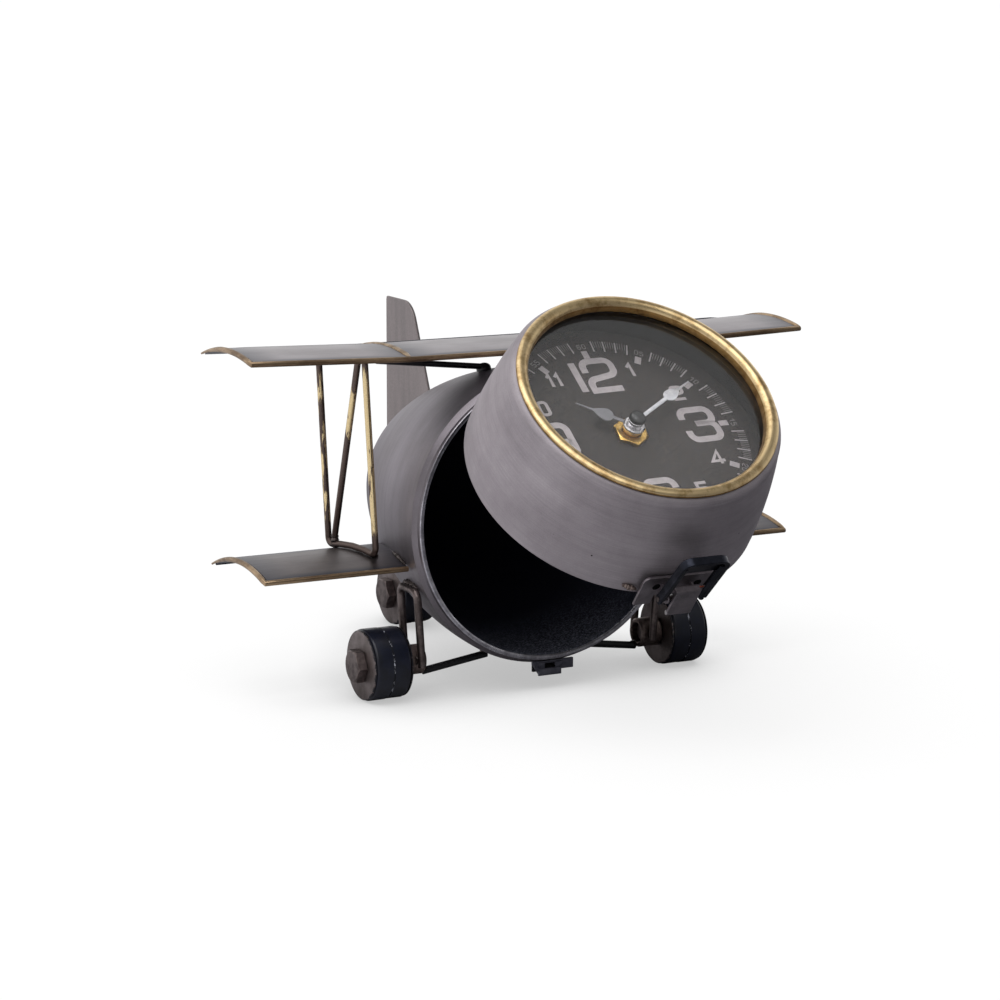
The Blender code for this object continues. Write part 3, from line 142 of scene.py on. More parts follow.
wheel_radius, wheel_width = 15.3, 17.7
tyre_corner, tyre_seam, tyre_seam_depth = 1.1, 0.35, 0.5
wheel_outer_face_x, wheel_axle_y, wheel_axle_z = 80.5, 18.6, -59.5
tail_axle_y, tail_wheel_face_x = 140.0, 11.0
hub_flange_radius, hub_flange_thickness, hub_core_radius, hub_rim = 14.8, 0.6, 12.0, 0.25
bolt_across, bolt_head_length, bolt_radius, bolt_thread_length = 13.0, 4.0, 4.0, 8.0
thread_turns, thread_depth = 9, 0.55
sleeve_radius, sleeve_length = 6.4, 10.0
gear_wire_radius, gear_leg_spread = 1.7, 8.4
gear_leg_top_x, gear_leg_top_z, gear_leg_bottom_x = 58.2, -28.5, 56.0
spreader_radius, spreader_outer_drop, spreader_inner_x = 1.6, 5.6, 21.5
tail_leg_bend_z, tail_leg_top_x, tail_leg_bend = -33.0, 6.0, 3.0

fin_thickness = 1.4
fin_front_y, fin_rear_y = 117.2, 165.0
fin_top_z, fin_top_length, fin_corner_radius = 76.9, 18.7, 13.2
fin_edge_lean = radians(24.2)
fin_root_lift = 2.0

catch_width, catch_height, catch_thickness = 11.0, 6.5, 1.4
catch_slot_width, catch_slot_height, catch_slot_drop = 5.0, 2.4, 1.0
catch_depth, catch_foot_width, catch_foot_height = 8.0, 6.0, 2.4
catch_gusset_width = 2.7


# Airframe shapes, from the same formulas as the solids


def between(first, last, share):
    """What lies at a share of the way from the first to the last."""
    return first + (last - first) * share


def fuselage_outer(y):
    """Outer radius of the spun pot at a distance behind its mouth."""
    share = min(1.0, y / fuselage_length)
    return fuselage_radius * max(0.0, 1 - share ** tail_curve_share) ** tail_taper_share


def drum_outer(depth):
    """Outer radius of the clock drum at a distance in front of its rim."""
    share = depth / drum_length
    return between(drum_rim_radius, drum_front_radius, share) + arch(share, drum_bulge)


def arch(share, height):
    """Height of a low arch at a share of its span."""
    return 4 * height * share * (1 - share)


def upper_point(x, share):
    """A point of the upper wing's middle surface; share runs from its front edge to its rear edge."""
    outboard = max(0.0, abs(x) - upper_crank_x) / (upper_half_span - upper_crank_x)
    drop = upper_crank_rise * (1 - outboard)
    z = between(upper_front_z, upper_rear_z, share) - drop + arch(share, upper_arch)
    return Vector((x, between(upper_front_y, upper_rear_y, share), z))


def lower_point(x, share):
    """A point of a lower wing's middle surface; share runs from its front edge to its rear edge."""
    z = between(lower_front_z, lower_rear_z, share) + arch(share, lower_arch)
    return Vector((x, between(lower_front_y, lower_rear_y, share), z))


def lower_root_x(share):
    """Distance from the middle to where a lower wing meets the side of the fuselage."""
    place = lower_point(0.0, share)
    radius = fuselage_outer(place.y - edge_bead_radius) if share == 0.0 else fuselage_outer(place.y)
    low = min(abs(place.z - edge_bead_radius), abs(place.z + edge_bead_radius))
    return sqrt(radius * radius - low * low) + seat_gap


def under_upper(x, y):
    """Height of the upper wing's underside."""
    return upper_point(x, (y - upper_front_y) / (upper_rear_y - upper_front_y)).z - sheet_thickness / 2


def over_lower(x, y):
    """Height of a lower wing's top side."""
    return lower_point(x, (y - lower_front_y) / (lower_rear_y - lower_front_y)).z + sheet_thickness / 2


# Shader building blocks


def linear(code):
    """Linear colour of an sRGB hex code."""
    shares = [int(code[place:place + 2], 16) / 255 for place in (1, 3, 5)]
    levels = [share / 12.92 if share <= 0.04045 else ((share + 0.055) / 1.055) ** 2.4 for share in shares]
    return (*levels, 1.0)


def add(tree, kind, inputs=(), **settings):
    """Adds one shader node. inputs fills its sockets in their order, or by name. Each is a value, a hex
    colour, an output, or a node, which feeds it from its first output."""
    made = tree.nodes.new("ShaderNode" + kind)
    for name, value in settings.items():
        setattr(made, name, value)
    if isinstance(inputs, dict):
        pairs = [(made.inputs[name], value) for name, value in inputs.items()]
    else:
        pairs = list(zip([socket for socket in made.inputs if socket.enabled], inputs))
    for socket, value in pairs:
        if isinstance(value, bpy.types.Node):
            value = next(output for output in value.outputs if output.enabled)
        if isinstance(value, bpy.types.NodeSocket):
            tree.links.new(value, socket)
        else:
            socket.default_value = linear(value) if isinstance(value, str) else value
    return made


def new_material(name):
    """An empty material and its node tree."""
    material = bpy.data.materials.new(name)
    material.use_nodes = True
    material.node_tree.nodes.clear()
    return material, material.node_tree


def close_material(material, tree, colour, roughness, relief=None, **settings):
    """Ends a material in one Principled shader. relief is (pattern, strength, depth in metres)."""
    sockets = {"Base Color": colour, "Roughness": roughness}
    sockets |= {name.replace("_", " "): value for name, value in settings.items()}
    if relief:
        height, strength, depth = relief
        sockets["Normal"] = add(tree, "Bump", {"Height": height, "Strength": strength, "Distance": depth})
    shader = add(tree, "BsdfPrincipled", sockets)
    add(tree, "OutputMaterial", {"Surface": shader})
    material.diffuse_color = (0.4, 0.4, 0.4, 1.0)
    return material


def own_millimetres(tree, place=(0.0, 0.0, 0.0), turn=(0.0, 0.0, 0.0), stretch=(1.0, 1.0, 1.0)):
    """Coordinates in millimetres on the piece itself, from a place in the frame, their pattern stretched."""
    scale = tuple(millimetre * share for share in stretch)
    spot = add(tree, "TexCoord").outputs["Object"]
    return add(tree, "Mapping", [spot, place, turn, scale], vector_type="TEXTURE")


def two_tone(tree, pattern, low, high, first, second, most=1.0):
    """A colour that passes from the first to the second as a pattern rises from low to high."""
    share = add(tree, "MapRange", [pattern, low, high, 0.0, most])
    return add(tree, "Mix", [share, first, second], data_type="RGBA")


def toned(tree, colour, *patterns):
    """A colour that (pattern, share) pairs make lighter and darker by their shares."""
    tone = None
    for pattern, share in patterns:
        level = add(tree, "MapRange", [pattern, 0.3, 0.7, 1 - share, 1 + share])
        tone = add(tree, "Math", [tone, level], operation="MULTIPLY") if tone else level
    return add(tree, "VectorMath", [colour, tone], operation="SCALE")


def turned_lines(tree, place, turn, spacing, around, detail=3.0):
    """Fine lines that run round an axis, as a lathe or a brush on a spinning piece leaves them."""
    local = own_millimetres(tree, place, turn)
    across = add(tree, "VectorMath", [local, (1.0, 1.0, 0.0)], operation="MULTIPLY")
    radius = add(tree, "VectorMath", [across], operation="LENGTH")
    heading = add(tree, "VectorMath", [across], operation="NORMALIZE")
    along = add(tree, "SeparateXYZ", [local]).outputs["Z"]
    travel = add(tree, "Math", [radius, along], operation="SUBTRACT")
    lift = add(tree, "CombineXYZ", {"Z": add(tree, "Math", [travel, 1.0 / spacing], operation="MULTIPLY")})
    turns = add(tree, "VectorMath", [heading, around], operation="SCALE")
    vector = add(tree, "VectorMath", [turns, lift], operation="ADD")
    return add(tree, "TexNoise", [vector, 1.0, detail, 0.6])


# Materials. A noise takes its place, one over its size in millimetres, its detail and its roughness


def spun_steel(name, place, turn, pale, deep, rough, ring_tone=0.05, spacing=0.34):
    """Mild steel sheet spun on a lathe and brushed, then waxed: a soft grey satin whose fine lines run round
    the axis, with broader rings from the tool, a slow mottle and a few dark pits where the wax has caught."""
    material, tree = new_material(name)
    lines = turned_lines(tree, place, turn, spacing, 3.0)
    rings = turned_lines(tree, place, turn, 5.0, 0.4, 2.0)
    local = own_millimetres(tree)
    mottle = add(tree, "TexNoise", [local, 1 / 30, 4.0, 0.6])
    grain = add(tree, "TexNoise", [local, 1 / 0.5, 2.0, 0.6])
    base = two_tone(tree, mottle, 0.35, 0.65, pale, deep)
    base = toned(tree, base, (lines, 0.13), (rings, ring_tone), (grain, 0.05))
    spots = add(tree, "TexVoronoi", {"Vector": local, "Scale": 1 / 14})
    pit = add(tree, "MapRange", [spots, 0.018, 0.032, 1.0, 0.0])
    colour = add(tree, "Mix", [pit, base, "#3a3536"], data_type="RGBA")
    roughness = add(tree, "MapRange", [lines, 0.3, 0.7, rough - 0.06, rough + 0.08])
    return close_material(material, tree, colour, roughness, (lines, 0.10, 0.00004), Metallic=1.0)


def patchy_metal(name, main, other, patch, rough, metallic=1.0, stretch=(1.0, 1.0, 1.0), bump=0.08):
    """Worn metal: patches of a second finish where handling has rubbed it, a fine grain, and a roughness that
    changes with the patches, so the light breaks up as it does on hand-finished metal."""
    material, tree = new_material(name)
    patches = add(tree, "TexNoise", [own_millimetres(tree, stretch=stretch), 1.0 / patch, 5.0, 0.62])
    fine = add(tree, "TexNoise", [own_millimetres(tree), 1 / 0.5, 2.0, 0.6])
    colour = toned(tree, two_tone(tree, patches, 0.42, 0.6, main, other), (fine, 0.12))
    roughness = add(tree, "MapRange", [patches, 0.3, 0.7, rough - 0.06, rough + 0.08])
    return close_material(material, tree, colour, roughness, (fine, bump, 0.00005), Metallic=metallic)


def wing_sheet(name, pale, deep, rough, joint_x, tip_x, front_y, rear_shade_y):
    """Cold-rolled steel sheet, bent over a former and waxed: smooth, with faint streaks from the rolls along
    the span, which give the broad highlight its soft break-up. It is darkened blue-grey in a line behind the
    rolled front edge and a little where it is welded at its ends, and along its rear with painted shade,
    which stands in for the shade on its rolled rear edge."""
    material, tree = new_material(name)
    parts = add(tree, "SeparateXYZ", [own_millimetres(tree, mouth)])
    outward = add(tree, "Math", [parts.outputs["X"]], operation="ABSOLUTE")
    from_joint = add(tree, "Math", [outward, joint_x], operation="SUBTRACT")
    from_joint = add(tree, "Math", [from_joint], operation="ABSOLUTE")
    from_tip = add(tree, "Math", [tip_x, outward], operation="SUBTRACT")
    nearest = add(tree, "Math", [from_joint, from_tip], operation="MINIMUM")
    end_blue = add(tree, "MapRange", [nearest, 1.0, 16.0, 0.7, 0.0])
    # Painted shade: the sheet turns blue-grey along its rear, standing in for the shade on its rolled rear
    # edge
    painted_rear_shade = add(tree, "MapRange", [parts.outputs["Y"], rear_shade_y, rear_shade_y + 6.0, 0.0, 0.9])
    front_blue = add(tree, "MapRange", [parts.outputs["Y"], front_y + 2.0, front_y + 5.0, 0.9, 0.0])
    # The dark bands together; the one along the rear is painted shade
    blued = add(tree, "Math", [end_blue, painted_rear_shade], operation="MAXIMUM")
    blued = add(tree, "Math", [blued, front_blue], operation="MAXIMUM")
    streaks = add(tree, "TexNoise", [own_millimetres(tree, stretch=(30.0, 1.0, 1.0)), 1 / 1.4, 3.0, 0.6])
    mottle = add(tree, "TexNoise", [own_millimetres(tree, stretch=(2.0, 1.0, 1.0)), 1 / 16, 4.0, 0.6])
    grain = add(tree, "TexNoise", [own_millimetres(tree), 1 / 0.45, 2.0, 0.6])
    base = two_tone(tree, mottle, 0.38, 0.66, pale, deep)
    base = add(tree, "Mix", [blued, base, "#50525b"], data_type="RGBA")
    colour = toned(tree, base, (streaks, 0.06), (grain, 0.05))
    roughness = add(tree, "MapRange", [streaks, 0.3, 0.7, rough - 0.05, rough + 0.07])
    return close_material(material, tree, colour, roughness, (streaks, 0.05, 0.00004), Metallic=1.0)


def rubbed_wire(name, low, high):
    """Brass-plated steel wire under a dark wash: between two heights the wash is rubbed through to the brass,
    with ragged ends, as on a strut that is gripped when the clock is lifted. The front wire is rubbed nearly
    clean and the wires behind it only in flecks."""
    material, tree = new_material(name)
    parts = add(tree, "SeparateXYZ", [own_millimetres(tree, mouth)])
    ragged = add(tree, "TexNoise", [own_millimetres(tree, stretch=(1.0, 1.0, 8.0)), 1 / 1.6, 3.0, 0.6])
    shift = add(tree, "MapRange", [ragged, 0.3, 0.7, -6.0, 6.0])
    level = add(tree, "Math", [parts.outputs["Z"], shift], operation="ADD")
    over = add(tree, "MapRange", [level, low, low + 3.0, 0.0, 1.0])
    under = add(tree, "MapRange", [level, high - 3.0, high, 1.0, 0.0])
    rubbed = add(tree, "MapRange", [ragged, 0.60, 0.64, 1.0, 0.0])
    flecked = add(tree, "MapRange", [ragged, 0.52, 0.56, 0.0, 1.0])
    rear = add(tree, "MapRange", [parts.outputs["Y"], 50.0, 54.0, 0.0, 1.0])
    flakes = add(tree, "Mix", [rear, rubbed, flecked])
    worn = add(tree, "Math", [over, under], operation="MULTIPLY")
    worn = add(tree, "Math", [worn, flakes], operation="MULTIPLY")
    fine = add(tree, "TexNoise", [own_millimetres(tree), 1 / 0.5, 2.0, 0.6])
    base = add(tree, "Mix", [worn, "#655853", "#e6cfa0"], data_type="RGBA")
    roughness = add(tree, "MapRange", [worn, 0.0, 1.0, 0.40, 0.22])
    return close_material(material, tree, toned(tree, base, (fine, 0.12)), roughness, Metallic=1.0)


def brushed_brass(name, main, patina, rough, place, turn):
    """Brass sheet pressed to a ring, brushed while it spins and antiqued: warm, with fine rings, and brown
    patina left in faint clouds."""
    material, tree = new_material(name)
    lines = turned_lines(tree, place, turn, 0.16, 6.0)
    clouds = add(tree, "TexNoise", [own_millimetres(tree), 1 / 7, 5.0, 0.7])
    colour = toned(tree, two_tone(tree, clouds, 0.46, 0.66, main, patina, 0.75), (lines, 0.06))
    roughness = add(tree, "MapRange", [lines, 0.3, 0.7, rough - 0.05, rough + 0.08])
    return close_material(material, tree, colour, roughness, (lines, 0.05, 0.00004), Metallic=1.0)


def inner_black(name):
    """Matt black lacquer sprayed inside the spun pot, with pale grey specks low by the mouth: settled dirt,
    and painted light where light falls in through the mouth.
    """
    material, tree = new_material(name)
    parts = add(tree, "SeparateXYZ", [own_millimetres(tree, mouth)])
    near = add(tree, "MapRange", [parts.outputs["Y"], 0.0, 55.0, 1.0, 0.0])
    low = add(tree, "MapRange", [parts.outputs["Z"], -35.0, -60.0, 0.0, 1.0])
    specks = add(tree, "TexNoise", [own_millimetres(tree), 1 / 0.9, 3.0, 0.8])
    specks = add(tree, "MapRange", [specks, 0.46, 0.64, 0.0, 1.0])
    # Pale specks low by the mouth: settled dirt, and painted light where light falls in
    dust_and_inlet_light = add(tree, "Math", [near, low], operation="MULTIPLY")
    dust_and_inlet_light = add(tree, "Math", [dust_and_inlet_light, specks], operation="MULTIPLY")
    colour = add(tree, "Mix", [dust_and_inlet_light, "#1b1c2a", "#a2a6b6"], data_type="RGBA")
    roughness = add(tree, "MapRange", [specks, 0.0, 1.0, 0.55, 0.7])
    return close_material(material, tree, colour, roughness, Specular_IOR_Level=0.3)


def lacquer(name, colour, other, rough, patch=7.0, grain=0.5, level=0.5):
    """A sprayed or moulded finish: one colour that drifts slightly, with a fine orange-peel grain."""
    material, tree = new_material(name)
    local = own_millimetres(tree)
    drift = add(tree, "TexNoise", [local, 1.0 / patch, 4.0, 0.6])
    fine = add(tree, "TexNoise", [local, 1.0 / grain, 2.0, 0.6])
    tinted = toned(tree, two_tone(tree, drift, 0.35, 0.65, colour, other), (fine, 0.10))
    roughness = add(tree, "MapRange", [drift, 0.3, 0.7, rough - 0.05, rough + 0.07])
    return close_material(material, tree, tinted, roughness, (fine, 0.08, 0.00005), Specular_IOR_Level=level)


def wheel_disc_steel(name, axle):
    """Turned steel disc whose rim is lapped by the tyre's black paint along a chipped edge."""
    material, tree = new_material(name)
    parts = add(tree, "SeparateXYZ", [own_millimetres(tree, axle)])
    flat = add(tree, "CombineXYZ", {"Y": parts.outputs["Y"], "Z": parts.outputs["Z"]})
    radius = add(tree, "VectorMath", [flat], operation="LENGTH")
    chips = add(tree, "TexNoise", [own_millimetres(tree), 1 / 2.2, 4.0, 0.7])
    chips = add(tree, "MapRange", [chips, 0.3, 0.7, -1.1, 0.9])
    edge = add(tree, "Math", [radius, chips], operation="ADD")
    painted = add(tree, "MapRange", [edge, 14.2, 14.5, 0.0, 1.0])
    mottle = add(tree, "TexNoise", [own_millimetres(tree), 1 / 9, 5.0, 0.65])
    fine = add(tree, "TexNoise", [own_millimetres(tree), 1 / 0.5, 2.0, 0.6])
    steel = toned(tree, two_tone(tree, mottle, 0.38, 0.62, "#8b8180", "#6c6260"), (fine, 0.1))
    colour = add(tree, "Mix", [painted, steel, "#14151e"], data_type="RGBA")
    metallic = add(tree, "MapRange", [painted, 0.0, 1.0, 0.9, 0.0])
    return close_material(material, tree, colour, 0.42, Metallic=metallic)


def chipped_seam(name):
    """The tyre's mid seam, where the black paint has flaked to pale steel in short runs."""
    material, tree = new_material(name)
    chips = add(tree, "TexNoise", [own_millimetres(tree), 1 / 2.6, 4.0, 0.7])
    bare = add(tree, "MapRange", [chips, 0.55, 0.60, 0.0, 1.0])
    colour = add(tree, "Mix", [bare, "#14151e", "#c2c4cf"], data_type="RGBA")
    return close_material(material, tree, colour, add(tree, "MapRange", [bare, 0.0, 1.0, 0.4, 0.5]))


def printed_card(name):
    """Matt charcoal print on the dial, streaked upright with brown wear, with the tooth of screen ink."""
    material, tree = new_material(name)
    local = own_millimetres(tree)
    clouds = add(tree, "TexNoise", [local, 1 / 14, 4.0, 0.6])
    tooth = add(tree, "TexNoise", [local, 1 / 0.8, 2.0, 0.6])
    upright = own_millimetres(tree, rim_middle, drum_turn, (1.0, 0.12, 1.0))
    streaks = add(tree, "TexNoise", [upright, 1 / 1.6, 5.0, 0.75])
    base = two_tone(tree, clouds, 0.35, 0.65, "#302e31", "#272629")
    base = two_tone(tree, streaks, 0.50, 0.62, base, "#6b5c4c", 0.6)
    return close_material(material, tree, toned(tree, base, (tooth, 0.04)), 0.6, Specular_IOR_Level=0.3)


def clear_glass(name):
    """Flat float glass; shadow rays pass it, so the dial behind is lit as it is through a thin pane."""
    material, tree = new_material(name)
    pane = add(tree, "BsdfPrincipled", {"Base Color": "#ffffff", "Roughness": 0.0, "IOR": 1.45,
                                        "Transmission Weight": 1.0})
    through = add(tree, "BsdfTransparent", {"Color": (0.95, 0.96, 0.96, 1.0)})
    path = add(tree, "LightPath")
    mix = add(tree, "MixShader", [path.outputs["Is Shadow Ray"], pane, through])
    add(tree, "OutputMaterial", {"Surface": mix})
    return material


fuselage_turn = (radians(-90), 0.0, 0.0)
drum_turn = (radians(-90 - lid_open_angle), 0.0, 0.0)
rim_middle = lid_to_world @ Vector((0.0, 0.0, 0.0))

shell_steel = spun_steel("spun_steel_fuselage", mouth, fuselage_turn, "#908a91", "#827c81", 0.44, 0.10, 0.5)
drum_steel = spun_steel("spun_steel_drum", rim_middle, drum_turn, "#b3acb1", "#a19a9f", 0.6)
fin_steel = patchy_metal("brushed_fin_sheet", "#8f8686", "#878080", 14.0, 0.42, stretch=(1.0, 1.0, 6.0))
# The last figure of each wing is where its painted shade along the rear begins
upper_sheet = wing_sheet("rolled_sheet_upper_wing", "#a8a3a6", "#969093", 0.34, upper_crank_x,
                         upper_half_span, upper_point(0.0, 0.0).y, 51.0)
# The lower wings' sheet is darker than the upper wing's: painted shade under the upper wing
lower_sheet = wing_sheet("rolled_sheet_lower_wing_painted_shade", "#7d7777", "#6b6565", 0.4, lower_root_x(0.5),
                         lower_half_span, lower_point(lower_half_span, 0.0).y, 47.0)
# The rear hems are dark: painted shade of the wings' rolled rear edges
hem_painted_shade = patchy_metal("rear_hem_painted_shade", "#3a3c46", "#55565e", 5.0, 0.4, stretch=(8.0, 1.0, 1.0))
bronze = patchy_metal("rubbed_bronze_edge", "#b0977a", "#7a6550", 6.0, 0.36, stretch=(6.0, 3.0, 1.0))
pale_bronze = patchy_metal("rubbed_bronze_rib", "#b09a80", "#7e6a54", 5.0, 0.4)
wire_steel = patchy_metal("drawn_steel_wire", "#7d7270", "#5e5553", 6.0, 0.42)
strut_front_wire = rubbed_wire("rubbed_strut_wire", -4.0, 62.0)
strut_rear_wire = rubbed_wire("half_rubbed_strut_wire", 34.0, 54.0)
bolt_steel = patchy_metal("turned_bolt_steel", "#7d7270", "#5f5655", 4.0, 0.42)
latch_steel = patchy_metal("pressed_latch_steel", "#8d868b", "#787276", 8.0, 0.42)
sleeve_steel = patchy_metal("burnt_sleeve_steel", "#958680", "#6b5e5a", 4.0, 0.5)
# Pale steel for the fuselage lip's bead: a painted highlight
lip_painted_highlight = patchy_metal("lip_steel_painted_highlight", "#d6d4dc", "#a9a6ae", 5.0, 0.3)
pale_steel = patchy_metal("bare_rolled_edge", "#c9c5c6", "#a5a0a2", 3.0, 0.3)
catch_steel = patchy_metal("blued_catch_steel", "#7c7c88", "#666672", 6.0, 0.42)
dark_steel = patchy_metal("blued_lever_steel", "#33353e", "#24262d", 8.0, 0.36)
weld_steel = patchy_metal("grey_weld_metal", "#6a6260", "#4b4543", 2.0, 0.5, bump=0.3)
black_steel = lacquer("black_lacquered_steel", "#1d1d21", "#141417", 0.36)
brass = brushed_brass("brushed_bezel_brass", "#e9cf9f", "#a07c4a", 0.33, rim_middle, drum_turn)
# Brown brass for the bezel's edges: patina, and painted shade
brass_patina_and_shade = brushed_brass("bezel_patina_and_painted_shade", "#a28052", "#5f4728", 0.38, rim_middle, drum_turn)
nut_brass = patchy_metal("milled_brass_nut", "#d8b36a", "#b08a45", 3.0, 0.28)
black_plastic = lacquer("moulded_black_abs", "#101013", "#0c0c0e", 0.5)
liner_black = lacquer("black_liner_card", "#17171a", "#101012", 0.45)
# Painted shade for the latch plate's screw holes, which are not cut
painted_hole_shade = lacquer("unlit_screw_hole", "#070708", "#050506", 0.7, level=0.1)
cap_black = lacquer("gloss_black_cap", "#0c0c0e", "#09090b", 0.15)
dial_print = printed_card("printed_dial")
dial_ink = lacquer("pale_dial_ink", "#b2aaac", "#a39c9e", 0.6, patch=3.0, grain=0.25, level=0.3)
faint_ink = lacquer("fine_dial_ink", "#8f888a", "#80797b", 0.6, patch=3.0, grain=0.25, level=0.3)
hour_metal = lacquer("grey_painted_hand", "#77767a", "#6c6b70", 0.4, patch=3.0, grain=0.3)
hand_metal = patchy_metal("stamped_aluminium", "#d6d6da", "#c6c6cb", 3.0, 0.34, metallic=0.8)
collet_metal = patchy_metal("turned_collet", "#d2d0d2", "#aaa8ab", 2.0, 0.24)
tyre_black = lacquer("black_painted_tyre", "#171b2c", "#10131f", 0.33, patch=5.0, grain=0.9)
seam_black = chipped_seam("chipped_tyre_seam")
pot_black = inner_black("inner_black_lacquer")
sleeve_print = lacquer("battery_sleeve", "#3b3c40", "#303135", 0.35)
cell_metal = patchy_metal("plated_contact", "#c8c6c0", "#a9a7a2", 2.0, 0.3)
rust = patchy_metal("rust_spot", "#b0563c", "#7d3a28", 1.0, 0.7, metallic=0.2)
glass = clear_glass("float_glass")


def dress(material, *nodes):
    """Gives CAD nodes a material."""
    for name in nodes:
        mesh = frame["nodes"][name].data
        mesh.materials.clear()
        mesh.materials.append(material)


dress(latch_steel, "hinge_leaf_fuselage", "hinge_leaf_lid", "hook_pin")
dress(black_steel, "hinge_pin")
dress(bolt_steel, "latch_pivot_pin")
dress(collet_metal, "hand_arbor")
dress(nut_brass, "dial_bush")
dress(black_plastic, "dial_carrier")
dress(glass, "glass_lens")


# Making pieces


def make_piece(name, bm, material, body, place=to_world, replaced=(), smooth=35.0, bevel=0.0):
    """One named piece from a mesh in millimetres, set in the frame by place, that rides on a body."""
    bmesh.ops.transform(bm, matrix=place, verts=bm.verts)
    bmesh.ops.recalc_face_normals(bm, faces=bm.faces)
    mesh = bpy.data.meshes.new(name)
    bm.to_mesh(mesh)
    bm.free()
    mesh.shade_smooth()
    mesh.set_sharp_from_angle(angle=radians(smooth))
    piece = bpy.data.objects.new(name, mesh)
    bpy.context.scene.collection.objects.link(piece)
    for item in material if isinstance(material, list) else [material]:
        mesh.materials.append(item)
    if bevel:
        rounding = piece.modifiers.new("edge_rounding", "BEVEL")
        rounding.width = bevel * millimetre
        rounding.segments = 2
        rounding.limit_method = "ANGLE"
        rounding.angle_limit = radians(40)
        piece.modifiers.new("even_shading", "WEIGHTED_NORMAL")
    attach(piece, body)
    if replaced:
        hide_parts(*replaced)
    return piece


def arc(centre, radii, start, end, steps):
    """Points of an arc in a plane, both ends included. radii is one number, or two for an ellipse."""
    wide, high = radii if isinstance(radii, tuple) else (radii, radii)
    turns = [start + (end - start) * step / steps for step in range(steps + 1)]
    return [(centre[0] + wide * cos(turn), centre[1] + high * sin(turn)) for turn in turns]


def spun(outline, steps=96, finishes=None):
    """Turns a closed outline of (radius, y) about the Y axis, each stretch with its number in finishes."""
    bm = bmesh.new()
    turns = [tau * step / steps for step in range(steps)]
    rings = []
    for radius, y in outline:
        if radius < 1e-6:
            rings.append([bm.verts.new((0.0, y, 0.0))] * steps)
        else:
            rings.append([bm.verts.new((radius * sin(turn), y, radius * cos(turn))) for turn in turns])
    for index, first in enumerate(rings):
        second = rings[(index + 1) % len(rings)]
        for step in range(steps):
            after = (step + 1) % steps
            corners = list(dict.fromkeys((first[step], first[after], second[after], second[step])))
            if len(corners) > 2:
                face = bm.faces.new(corners)
                face.material_index = finishes[index] if finishes else 0
    return bm


def turned(bm, angle, axis):
    """A mesh turned about one of its axes."""
    bmesh.ops.rotate(bm, verts=bm.verts, cent=(0, 0, 0), matrix=Matrix.Rotation(angle, 3, axis))
    return bm


def along_x(bm):
    """Turns what was spun about Y so that it stands about X, with y becoming x."""
    return turned(bm, -pi / 2, "Z")


def moved(bm, offset):
    """A mesh shifted by an offset."""
    bmesh.ops.translate(bm, verts=bm.verts, vec=offset)
    return bm


def merged(*meshes):
    """One bmesh with the faces of several."""
    whole = bmesh.new()
    for part in meshes:
        copy = {vert: whole.verts.new(vert.co) for vert in part.verts}
        for face in part.faces:
            made = whole.faces.new([copy[vert] for vert in face.verts])
            made.material_index = face.material_index
        part.free()
    return whole


def prism(outline, axis, low, high):
    """A flat outline, given in the plane square to the axis, made solid between low and high."""
    bm = bmesh.new()
    rings = []
    for level in (low, high):
        places = [list(point) for point in outline]
        for place in places:
            place.insert("XYZ".index(axis), level)
        rings.append([bm.verts.new(place) for place in places])
    lower, upper = rings
    bm.faces.new(lower)
    bm.faces.new(list(reversed(upper)))
    for index in range(len(outline)):
        after = (index + 1) % len(outline)
        bm.faces.new((lower[index], upper[index], upper[after], lower[after]))
    return bm


def block(x_range, y_range, z_range):
    """A box between two places on each axis."""
    (left, right), (front, back) = x_range, y_range
    return prism([(left, front), (right, front), (right, back), (left, back)], "Z", *z_range)


def rounded(corners, radii, steps, closed=False):
    """Points along straight runs whose corners are bent to their radii, in a plane or in space."""
    corners = [Vector(corner) for corner in corners]
    last = len(corners) - 1
    points = []
    for index, (corner, radius) in enumerate(zip(corners, radii)):
        inward = (corners[index - 1] - corner).normalized()
        outward = (corners[(index + 1) % len(corners)] - corner).normalized()
        half = acos(max(-1.0, min(1.0, inward.dot(outward)))) / 2
        if radius <= 0 or index in (0, last) and not closed or half > radians(89.5):
            points.append(corner)
            continue
        reach = radius * cos(half) / sin(half)
        centre = corner + (inward + outward).normalized() * (radius / sin(half))
        start, end = corner + inward * reach, corner + outward * reach
        for step in range(steps + 1):
            heading = (start - centre).lerp(end - centre, step / steps).normalized()
            points.append(centre + heading * radius)
    return points


def bent_path(corners, bend):
    """Points along a wire whose inner corners are bent to a radius."""
    return rounded(corners, [bend] * len(corners), 8)


def tube(path, radius, sides=16):
    """A round bar along a path. radius is one number or one for each point."""
    path = [Vector(point) for point in path]
    radii = radius if isinstance(radius, list) else [radius] * len(path)
    turns = [tau * (count + 0.5) / sides for count in range(sides)]
    bm = bmesh.new()
    rings, side = [], None
    for index, point in enumerate(path):
        ahead = (path[min(index + 1, len(path) - 1)] - path[max(index - 1, 0)]).normalized()
        if side is None:
            side = ahead.cross(Vector((0, 0, 1)) if abs(ahead.z) < 0.8 else Vector((1, 0, 0))).normalized()
        side = (side - ahead * side.dot(ahead)).normalized()
        up = side.cross(ahead)
        spokes = [side * cos(turn) + up * sin(turn) for turn in turns]
        rings.append([bm.verts.new(point + spoke * radii[index]) for spoke in spokes])
    for first, second in zip(rings, rings[1:]):
        for count in range(sides):
            after = (count + 1) % sides
            bm.faces.new((first[count], first[after], second[after], second[count]))
    bm.faces.new(rings[0])
    bm.faces.new(list(reversed(rings[-1])))
    return bm


# Fixes the lumps of the weld beads, so that they are the same on every run
noise.seed_set(1)


